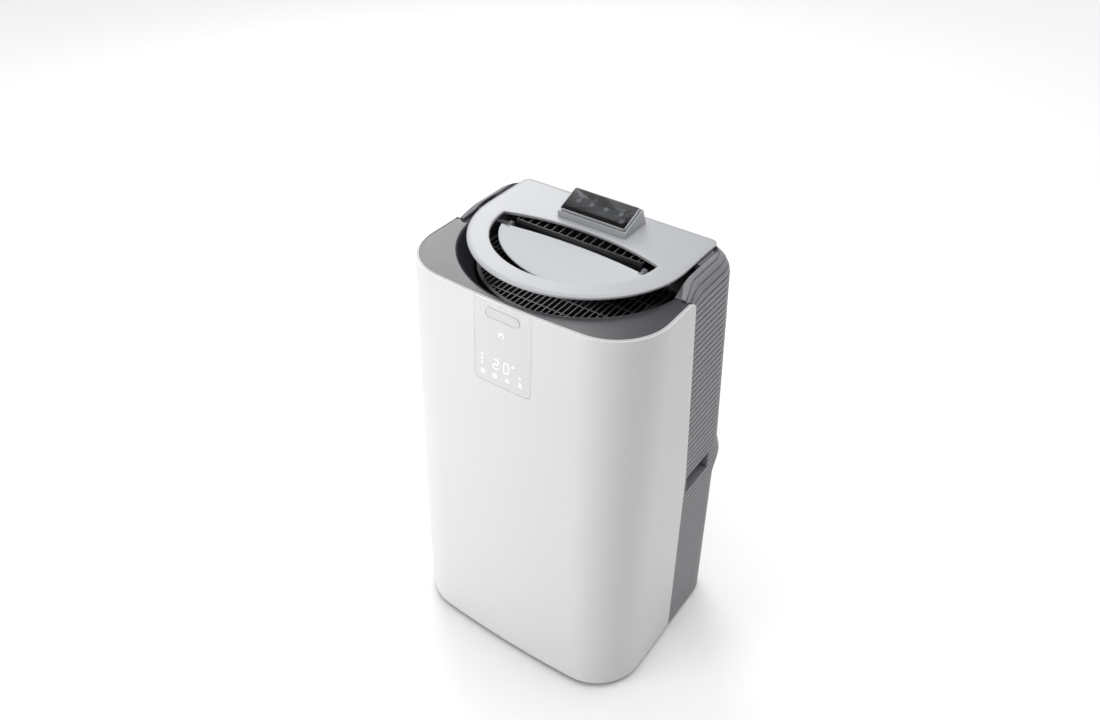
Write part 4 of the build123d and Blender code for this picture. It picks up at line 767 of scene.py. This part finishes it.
def plate_opening(v, grow=0.0):
    """Plan of the oval outlet with v in step with the outer plan: half-ellipse in front, one arc behind."""
    half, depth, bulge = OPENING_HALF + grow, OPENING_DEPTH + grow, OPENING_BULGE + grow
    a = -np.pi * np.clip(v, 0, 1)
    r = (half ** 2 + bulge ** 2) / (2 * bulge)
    x_back = -half + 2 * half * np.clip((v - 1) / 3, 0, 1)
    x = np.where(v <= 1, half * np.cos(a), x_back)
    y = np.where(v <= 1, OPENING_CENTRE_Y + depth * np.sin(a),
                 OPENING_CENTRE_Y + bulge - r + np.sqrt(np.maximum(r ** 2 - x_back ** 2, 0)))
    return x, y


def cover_plate():
    """The pale cover: one closed section from the underside round the outer edge, over a sloping band,
    across the flat and down the rounded outlet edge, carried round the oval."""
    v = np.concatenate([np.linspace(0, 1, 81)[:-1], np.linspace(1, 2, 11)[:-1], np.linspace(2, 3, 61)[:-1],
                        np.linspace(3, 4, 11)[:-1]])
    low = PLATE_Z - PLATE_THICK
    outer = [(1.0, low), (0.3, low + 0.3), (0.0, low + 1.0), (0.0, PLATE_Z - 2.3)]
    outer += [(1.4 * (1 - math.cos(a)), PLATE_Z - 2.3 + 1.4 * math.sin(a)) for a in np.radians([25, 50, 75])]
    outer += [(PLATE_BAND - 0.6, PLATE_Z - PLATE_BAND_DROP * 0.15), (PLATE_BAND, PLATE_Z - 0.02),
              (PLATE_BAND + 1.0, PLATE_Z)]
    inner = [(1.8 + 6.0, PLATE_Z), (1.8, PLATE_Z)]
    inner += [(1.8 * (1 - math.sin(a)), PLATE_Z - 1.8 * (1 - math.cos(a)))
              for a in np.radians([20, 40, 60, 80, 90])]
    inner += [(0.0, low + 1.0), (0.3, low + 0.3), (1.0, low)]
    rows = [np.stack([*plate_outer(v, inset), np.full_like(v, z)], -1) for inset, z in outer]
    ax, ay = plate_outer(v, PLATE_BAND + 1.0)
    bx, by = plate_opening(v, 7.8)
    for t in (0.33, 0.66):
        rows.append(np.stack([ax + (bx - ax) * t, ay + (by - ay) * t, np.full_like(v, PLATE_Z)], -1))
    rows += [np.stack([*plate_opening(v, grow), np.full_like(v, z)], -1) for grow, z in inner]
    points = np.stack(rows)
    n, m = len(v), len(rows)
    faces = list(grid_quads(m, n, ring=True))
    faces += [(i, (i + 1) % n, (m - 1) * n + (i + 1) % n, (m - 1) * n + i) for i in range(n)]
    plate = make_piece("cover_top", points, faces, "housing", COVER_WHITE, "cover_white",
                       ("cover_plate",), None, 50)
    close_out(plate)


HINGE_Y, HINGE_Z, FLAP_TILT, FLAP_RISE = 23.0, 742.0, 20.0, 8.0
FLAP_HALF, FLAP_FRONT, FLAP_BACK, FLAP_END, FLAP_DISH_R, FLAP_THICK = 130.0, 74.0, 3.0, 9.0, 1500.0, 3.5


def flap_place(x, y, z):
    """From the flap's own frame, hinge at the origin, to the object's, tilted down at the front."""
    t = math.radians(FLAP_TILT)
    return np.stack([x, HINGE_Y + y * math.cos(t) - z * math.sin(t),
                     HINGE_Z + y * math.sin(t) + z * math.cos(t)], -1)


def flap():
    """The outlet flap: across its plan, an ellipse in front and an arc behind, on a dished sphere, with
    a rolled edge all round and a second skin under it."""
    n = 65
    s = np.linspace(-1, 1, n)
    x_edge = FLAP_HALF * np.sin(s * np.pi / 2)
    y_front = -FLAP_END - (FLAP_FRONT - FLAP_END) * np.cos(s * np.pi / 2)
    sagitta = FLAP_BACK + FLAP_END
    r_back = (FLAP_HALF ** 2 + sagitta ** 2) / (2 * sagitta)
    y_back = FLAP_BACK - r_back + np.sqrt(r_back ** 2 - x_edge ** 2)
    height = FLAP_RISE + math.sqrt(FLAP_DISH_R ** 2 - FLAP_HALF ** 2)

    def dish(x, y, drop):
        return height - np.sqrt((FLAP_DISH_R + drop) ** 2 - x ** 2 - (y + FLAP_FRONT / 2) ** 2)

    rows = []
    mid_y = (y_front + y_back) / 2
    reach = (y_back - y_front) / 2
    edge = [(1, 2.6), (1, 1.0), (0.985, 0.35), (0.96, 0.05)]
    section = edge + [(t, 0) for t in np.linspace(0.9, -0.9, 15)] + [(-t, drop) for t, drop in edge[::-1]]
    section += [(t, FLAP_THICK) for t in np.linspace(-0.96, 0.96, 15)]
    for t, drop in section:
        y = mid_y + reach * t
        x = x_edge * (1 - 0.004 * abs(drop - 1.0) * (abs(t) > 0.9))
        rows.append(flap_place(x, y, dish(x, y, drop)))
    points = np.stack(rows)
    m = len(rows)
    faces = list(grid_quads(m, n)) + [(i, (m - 1) * n + i, (m - 1) * n + i + 1, i + 1) for i in range(n - 1)]
    skin = make_piece("flap_skin", points, faces, "flap", FLAP_GLOSS, "flap_gloss", (), None, 50)
    close_out(skin)
    pins = refined("airflow_flap", NECK_GREY, 0)
    x_low = frame_mm("airflow_flap")[0][0]
    outline = round_rectangle(HINGE_Y - 12, HINGE_Y + 7, HINGE_Z - 7, HINGE_Z + 7, 2)
    ends = [cutter_along("X", outline, side * -x_low, side * (FLAP_HALF - 14)) for side in (-1, 1)]
    carve(pins, [join_cutters(ends)], "INTERSECT")
    pins.name = "flap_pins"


def frame_mm(node):
    """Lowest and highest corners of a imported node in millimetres."""
    low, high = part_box(node)
    return [c / METRE for c in low], [c / METRE for c in high]


def join_cutters(cutters):
    """One cutter made of several apart from each other."""
    work = bmesh.new()
    for cutter in cutters:
        work.from_mesh(cutter.data)
    mesh = bpy.data.meshes.new("cutter")
    work.to_mesh(mesh)
    work.free()
    for cutter in cutters:
        old = cutter.data
        bpy.data.objects.remove(cutter)
        bpy.data.meshes.remove(old)
    return add("cutter", mesh)


# ---- ribbed rear shells and intake grilles ----
def rib_rows(low, high, first):
    """Heights up the shell and how deep the surface lies there: flat ribs with rounded shoulders and
    narrow grooves between them, a groove's middle half a pitch above each multiple of the pitch."""
    heights, depths = [], []
    number = math.floor((low - first) / RIB_PITCH)
    half = GROOVE / 2
    shape = [(-half - 2 * GROOVE_ROUND, 0.0), (-half - GROOVE_ROUND * 0.7, 0.12), (-half, 0.65),
             (-half + 0.35, GROOVE_DEPTH), (half - 0.35, GROOVE_DEPTH), (half, 0.65),
             (half + GROOVE_ROUND * 0.7, 0.12), (half + 2 * GROOVE_ROUND, 0.0)]
    heights.append(low)
    depths.append(0.0)
    while first + (number + 0.5) * RIB_PITCH < high + RIB_PITCH:
        middle = first + (number + 0.5) * RIB_PITCH
        for offset, depth in shape:
            if low + 0.4 < middle + offset < high - 0.4:
                heights.append(middle + offset)
                depths.append(depth)
        number += 1
    heights.append(high)
    depths.append(0.0)
    return np.array(heights), np.array(depths)


SCREW_X, SCREW_HOLE_R, SHOULDER_ARC = 152.0, 4.4, 82.0
SCREW_Z = [KNEE_Z + n * RIB_PITCH for n in (-15, -2, 2, 29)]
LOW_CUT_Y, HIGH_CUT_Y, CUT_END_Y = 140, 120, 260      # where cuts through the back start and end
EXHAUST_Z, EXHAUST_HOLE_R, PIPE_X, PIPE_Z, DRAIN_HOLE_R, CORD_HOLE_R = 300, 78.3, 130, 36, 16.3, 9.3


def rear_columns():
    return side_steps(14, 16, 18)


def back_cuts(which, start, screw_heights):
    """Cutters through the back for a grille's window, half a millimetre wide all round, and screws."""
    low, high = frame_mm(f"{which}_intake_grille")
    outline = round_rectangle(low[0] - 0.5, high[0] + 0.5, low[2] - 0.5, high[2] + 0.5, 8)
    holes = [circle(side * SCREW_X, z, SCREW_HOLE_R, 24) for z in screw_heights for side in (-1, 1)]
    return [cutter_along("Y", shape, start, CUT_END_Y) for shape in (outline, *holes)]


def lower_shell():
    """The lower ribbed shell: the rear plan drawn in at each groove, rising from the floor to the knee."""
    s, depth = rib_rows(BODY_BOTTOM, KNEE_Z - SEAM, KNEE_Z)
    u = rear_columns()
    z = np.broadcast_to(s[:, None], (len(s), len(u)))
    x, y = rear_plan(u, z, depth[:, None] * np.ones_like(z))
    inner = np.stack([*rear_plan(u, z, SHELL_WALL), z], -1)
    shell = make_piece("ribbed_lower_shell", *walled(np.stack([x, y, z], -1), inner), "housing", RIB_GREY,
                       "ribbed_grey", ("rear_lower_shell",))
    close_out(shell)
    low, high = frame_mm("grip_cups")
    grip = round_rectangle(low[1] - 0.3, high[1] + 0.3, low[2] - 0.3, high[2] + 0.3, 7)
    cuts = [cutter_along("X", grip, side * 150, side * 260) for side in (-1, 1)]
    cuts.append(cutter_along("Y", circle(0, EXHAUST_Z, EXHAUST_HOLE_R, 72), HIGH_CUT_Y, CUT_END_Y))
    cuts.append(cutter_along("Y", circle(PIPE_X, PIPE_Z, DRAIN_HOLE_R), LOW_CUT_Y, CUT_END_Y))
    cuts.append(cutter_along("Y", circle(-PIPE_X, PIPE_Z, CORD_HOLE_R), LOW_CUT_Y, CUT_END_Y))
    cuts += back_cuts("lower", LOW_CUT_Y, SCREW_Z[:2])
    carve(shell, [join_cutters(cuts)])


def shoulder_climb(y):
    """0 in front of the shoulder's rise, 1 behind it and a smooth S between."""
    return smooth((y - SHOULDER_RISE_Y[0]) / (SHOULDER_RISE_Y[1] - SHOULDER_RISE_Y[0]))


def shoulder_radius(y):
    """Radius of the shoulder's round edge at y, tighter in front."""
    return SHOULDER_FRONT_R + (SHOULDER_R - SHOULDER_FRONT_R) * shoulder_climb(y)


def shoulder_top(y):
    """Top height of the shoulder at y: level with the rim in front, climbing in an S to the plate."""
    return RIM_Z + (SHOULDER_TOP_Z - RIM_Z) * shoulder_climb(y)


def shoulder_surface(u, s, depth):
    """Upper shell point: straight up the rear plan, then over a rounded shoulder whose radius shrinks
    towards the front, the whole drawn down in front so that the last ribs follow the S of the top."""
    straight = SHOULDER_TOP_Z - SHOULDER_R
    start = KNEE_Z + np.minimum(s, straight - KNEE_Z)
    _, y_side = rear_plan(u, start)
    radius = shoulder_radius(y_side)
    top = shoulder_top(y_side)
    follow = smooth((s - 200.0) / (straight - KNEE_Z - 200.0))
    lift = (top - radius) - straight
    z_straight = start + follow * lift
    angle = np.radians(np.clip((s - (straight - KNEE_Z)) / SHOULDER_R, 0, None) * 180 / np.pi)
    angle = np.minimum(angle, np.radians(SHOULDER_ARC))
    z = z_straight + (radius - depth) * np.sin(angle)
    inset = radius * (1 - np.cos(angle)) + depth * np.cos(angle)
    x, y = rear_plan(u, z, inset)
    return x, y, z


def upper_shell():
    """The upper ribbed shell with its shoulders, cut out in the middle for the cover."""
    straight = SHOULDER_TOP_Z - SHOULDER_R - KNEE_Z
    arc = SHOULDER_R * math.radians(SHOULDER_ARC)
    s, depth = rib_rows(0.0, straight + arc, 0.0)
    depth = np.where(s > straight + arc - 9, 0.0, depth)
    u = rear_columns()
    grid_s = np.broadcast_to(s[:, None], (len(s), len(u)))
    layers = []
    for sunk in (depth[:, None], SHELL_WALL):
        x, y, z = shoulder_surface(u, grid_s, sunk)
        layers.append(np.stack([x, y, z], -1))
    shell = make_piece("ribbed_upper_shell", *walled(*layers), "housing", RIB_GREY, "ribbed_grey",
                       ("rear_upper_shell",))
    close_out(shell)
    carve(shell, [join_cutters(back_cuts("upper", HIGH_CUT_Y, SCREW_Z[2:]))])
    hatch = round_rectangle(-HATCH_HALF, HATCH_HALF, -400, HATCH_BACK_Y, HATCH_CORNER, 16)
    carve(shell, [cutter_along("Z", hatch, RIM_Z + 0.5, 900)])


def shoulder_height(x, y):
    """Height of the shoulder over a plan point, from how far the point lies inside the body's plan."""
    half, rear = half_width(SHOULDER_TOP_Z) - REAR_STEP, rear_y(SHOULDER_TOP_Z)
    over_x, over_y = np.abs(x) - half + REAR_CORNER, y - rear + REAR_CORNER
    inside = np.where((over_x > 0) & (over_y > 0), REAR_CORNER - np.hypot(over_x, over_y),
                      np.minimum(half - np.abs(x), rear - y))
    radius = shoulder_radius(y)
    lean = np.clip(1 - inside / radius, 0, 1)
    return shoulder_top(y) - radius + radius * np.sqrt(1 - lean ** 2)


def collar():
    """The smooth grey collar between the ribbed shoulders and the cover: from the hatch's edge it dips
    under the cover, round the right side, the back and the left side, and drops at its inner edge."""
    s = np.concatenate([np.linspace(0, 1, 40)[:-1], np.linspace(1, 2, 12)[:-1], np.linspace(2, 3, 10)])
    start = EDGE_TOP_Y - EDGE_CORNER + SEAM
    arc_y = HATCH_BACK_Y - HATCH_CORNER
    y_side = start + (arc_y - start) * np.clip(s, 0, 1)
    turn = np.radians(90.0) * (np.clip(s, 1, 2) - 1)
    radius = shoulder_radius(y_side)
    crest = half_width(SHOULDER_TOP_Z) - REAR_STEP - radius * (1 - math.cos(math.radians(SHOULDER_ARC)))
    flat = HATCH_HALF - HATCH_CORNER
    outer = np.maximum(HATCH_HALF, crest) - 0.2
    inner = WELL_HALF - (WELL_HALF - HATCH_HALF + 15.0) * smooth((y_side - 60.0) / 14.0)
    rows = []
    for inward, blend in ((0.0, 0.0), (1.5, 0.15), (5.0, 0.7), (15.0, 1.0)):
        reach = HATCH_CORNER - 0.2 - inward
        x = np.where(s <= 1, outer + (inner - outer) * inward / 15.0,
                     np.where(s <= 2, flat + reach * np.cos(turn), flat * (3 - s)))
        y = np.where(s <= 1, y_side, arc_y + reach * np.sin(turn))
        if not rows:
            top = shoulder_height(x, y) - 0.25
            low = np.minimum(top, COLLAR_LOW_Z)
        rows.append(np.stack([x, y, top + (low - top) * blend], -1))
    rows.append(np.column_stack([rows[-1][:, :2], np.full(len(s), BEZEL_Z - 1.0)]))
    right = np.stack(rows)
    left = right[:, ::-1][:, 1:] * np.array([-1.0, 1.0, 1.0])
    points = np.concatenate([right, left], 1)
    piece = make_piece("bezel_collar", points, grid_quads(*points.shape[:2]), "housing", BEZEL_GREY,
                       "dark_bezel", (), (0, 0, -4000), 60.0)
    thicken(piece, 1.6)


def intake_grille(which, first):
    """A removable grille: the ribbed back inside its window, with the grooves open as air slots."""
    low, high = frame_mm(f"{which}_intake_grille")
    s, depth = rib_rows(low[2] - 4, high[2] + 4, first)
    x = np.linspace(low[0] - 2, high[0] + 2, 60)
    slot_edge = abs(low[0]) - 10.0
    x = np.sort(np.concatenate([x, [-slot_edge, slot_edge]]))
    z = np.broadcast_to(s[:, None], (len(s), len(x)))
    y = rear_y(z) - depth[:, None]
    keep = np.ones((len(s) - 1, len(x) - 1), bool)
    open_rows = (depth[:-1] == GROOVE_DEPTH) & (depth[1:] == GROOVE_DEPTH)
    middle = (s[:-1] + s[1:]) / 2
    open_rows &= (middle > low[2] + 10) & (middle < high[2] - 10)
    open_columns = (np.abs(x[:-1]) <= slot_edge + 0.01) & (np.abs(x[1:]) <= slot_edge + 0.01)
    keep[np.ix_(open_rows, open_columns)] = False
    layers = [np.stack([np.broadcast_to(x, z.shape), y_at, z], -1) for y_at in (y, rear_y(z) - SHELL_WALL)]
    grille = make_piece(f"{which}_ribbed_grille", *walled(*layers, keep), f"{which}_grille", RIB_GREY,
                        "ribbed_grey", (f"{which}_intake_grille",))
    close_out(grille)
    outline = round_rectangle(low[0], high[0], low[2], high[2], 8)
    carve(grille, [cutter_along("Y", outline, HIGH_CUT_Y, CUT_END_Y)], "INTERSECT")


def filter_net(which):
    """A fine net stretched in a filter frame: one sheet that follows the lean of the back."""
    low, high = frame_mm(f"{which}_filter_frame")
    z = np.broadcast_to(np.linspace(low[2] + 3, high[2] - 3, 12)[:, None], (12, 12))
    x = np.broadcast_to(np.linspace(low[0] + 3, high[0] - 3, 12), (12, 12))
    y = rear_y(z) - SHELL_WALL - 1.5
    make_piece(f"{which}_filter_net", np.stack([x, y, z], -1), grid_quads(12, 12), f"{which}_grille",
               FILTER_NET, "filter_mesh", (), (0, -60, 400))
    refined(f"{which}_filter_frame", DARK_PLASTIC, 0.3)


# ---- remote control ----
REMOTE_TILT, REMOTE_Y, REMOTE_Z, REMOTE_LENGTH, REMOTE_WIDTH = 21.0, 65.0, 772.5, 117.0, 47.0


def remote_place(strip, proud):
    """Lays 2-D points, x along the remote and y up its slope, on its face."""
    t = math.radians(REMOTE_TILT)
    x, y = strip[..., 0], strip[..., 1]
    return np.stack([x, REMOTE_Y + y * math.cos(t) - proud * math.sin(t),
                     REMOTE_Z + y * math.sin(t) + proud * math.cos(t)], -1)


def remote():
    """The docked remote with printed signs beside its keys."""
    refined("remote_body", COVER_WHITE, 0.6)
    refined("remote_face", REMOTE_DARK, 0.0, 12.0)
    refined("battery_door", COVER_WHITE, 0.3)
    refined("remote_dock", COVER_WHITE, 1.0, segments=3)
    for key in ("power", "mode", "down", "up"):
        refined(f"remote_key_{key}", KEY_RUBBER, 0.35)
    bands = [ring_mark(-38, 33.5, 2.4, 0.7, -60, 240), stroke_mark(-38, 33.5, -38, 36.5, 0.7)]
    bands += [ring_mark(-14, 33.5, 2.2, 0.7)]
    bands += [stroke_mark(9.4, 33.5, 14.6, 33.5, 0.8), stroke_mark(35.4, 33.5, 40.6, 33.5, 0.8),
              stroke_mark(38, 30.9, 38, 36.1, 0.8)]
    bands += [stroke_mark(44, 8, 51, 17, 0.8), ring_mark(46, 14, 2.0, 0.7)]
    marks_piece("remote_signs", bands, lambda p: remote_place(p, 0.06), "remote", PALE_PRINT, "remote_dark",
                (0, 60, 600))


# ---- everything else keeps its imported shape, refined ----
KEPT = [
    ("outlet_grille", BLACK_PLASTIC, "black_plastic", 0.0),
    ("slot_louvres", BLACK_PLASTIC, "black_plastic", 0.0),
    ("cover_neck", NECK_GREY, "neck_grey", 0.8), ("grip_cups", GRIP_GREY, "dark_plastic", 1.0),
    ("exhaust_collar", DARK_PLASTIC, "dark_plastic", 0.6), ("drain_spout", DARK_PLASTIC, "dark_plastic", 0.4),
    ("base_pan", DARK_PLASTIC, "dark_plastic", 0.6), ("drain_plug", RUBBER, "rubber", 0.4),
    ("cord_gland", RUBBER, "rubber", 0.5), ("compressor_feet", RUBBER, "rubber", 0.8),
    ("display_board", BOARD_GREEN, "board", 0.0), ("shell_screws", STEEL, "steel", 0.3),
    ("flap_motor", STEEL, "steel", 0.5), ("condenser_blower_motor", STEEL, "steel", 0.8),
    ("evaporator_blower_motor", STEEL, "steel", 0.8),
    ("condenser_blower_case", BLACK_PLASTIC, "black_plastic", 0.6),
    ("evaporator_blower_case", BLACK_PLASTIC, "black_plastic", 0.6),
    ("condenser_blower_wheel", BLACK_PLASTIC, "black_plastic", 0.2),
    ("evaporator_blower_wheel", BLACK_PLASTIC, "black_plastic", 0.2),
    ("compressor", BLACK_PAINT, "black_paint", 0.8),
    ("accumulator", BLACK_PAINT, "black_paint", 0.0), ("refrigerant_pipes", COPPER, "copper", 0.0),
    ("partition_deck", TRAY_PLASTIC, "tray_plastic", 0.5), ("control_box", BOX_STEEL, "box_steel", 0.8),
    ("condenser_coil", COIL_FINS, "coil_fins", 0.0), ("evaporator_coil", COIL_FINS, "coil_fins", 0.0),
]


def look():
    """Plain colour response, without a film curve."""
    bpy.context.scene.view_settings.view_transform = "Standard"


def camera():
    """The camera stands in front to the right and above, looking down at the unit."""
    view = add("camera", bpy.data.cameras.new("camera"))
    view.data.lens = 31.49
    view.data.sensor_width = 36.0
    view.location = (0.6904, -1.0105, 1.4924)
    view.rotation_euler = (math.radians(90 - 37.78), math.radians(0.1), math.radians(35.44))
    bpy.context.scene.camera = view


def lamp(name, place, target, size, power):
    """A square soft light aimed at a point."""
    light = bpy.data.lights.new(name, "AREA")
    light.size = size
    light.energy = power
    holder = add(name, light)
    aim = np.array(target, float) - np.array(place, float)
    yaw = math.atan2(aim[1], aim[0]) - math.pi / 2
    pitch = math.atan2(math.hypot(aim[0], aim[1]), -aim[2])
    holder.location = place
    holder.rotation_euler = (pitch, 0, yaw)


def studio():
    """A pale floor, a weak even sky, a broad sun overhead and three soft lamps."""
    half = 30.0
    mesh = bpy.data.meshes.new("floor")
    corners = [(-half, -half, 0), (half, -half, 0), (half, half, 0), (-half, half, 0)]
    mesh.from_pydata(corners, [], [(0, 1, 2, 3)])
    floor = add("floor", mesh)
    finish = Finish("floor", 0.7)
    finish.tint((0.90, 0.90, 0.90), (0.93, 0.93, 0.93), finish.noise(900.0))
    mesh.materials.append(finish.material)
    world = bpy.data.worlds.new("sky")
    world.use_nodes = True
    world.node_tree.nodes["Background"].inputs[0].default_value = (0.97, 0.98, 1.0, 1)
    world.node_tree.nodes["Background"].inputs[1].default_value = 0.12
    bpy.context.scene.world = world
    overhead = add("overhead", bpy.data.lights.new("overhead", "SUN"))
    overhead.data.energy = 2.75
    overhead.data.angle = math.radians(80)
    overhead.rotation_euler = (math.radians(-8), math.radians(3), 0)
    lamp("key", (-1.2, -2.0, 0.68), (0, 0, 0.45), 1.1, 30)
    lamp("side", (2.4, 0.9, 0.8), (0, 0, 0.4), 1.2, 2.5)
    lamp("back", (-1.95, 1.9, 2.3), (0, 0, 0.7), 1.4, 30)


look()
camera()
studio()
front_shell()
display_panel()
badge()
display_marks()
shell_trim()
bezel()
cover_plate()
flap()
lower_shell()
upper_shell()
collar()
intake_grille("lower", KNEE_Z)
intake_grille("upper", KNEE_Z)
filter_net("lower")
filter_net("upper")
remote()
for node, material, slot, bevel in KEPT:
    refined(node, material, bevel)
for number in range(1, 5):
    refined(f"castor_fork_{number}", BLACK_PLASTIC, 0.5)
    refined(f"castor_axle_{number}", STEEL, 0.3)
    refined(f"castor_wheel_{number}", TREAD, 0.0)
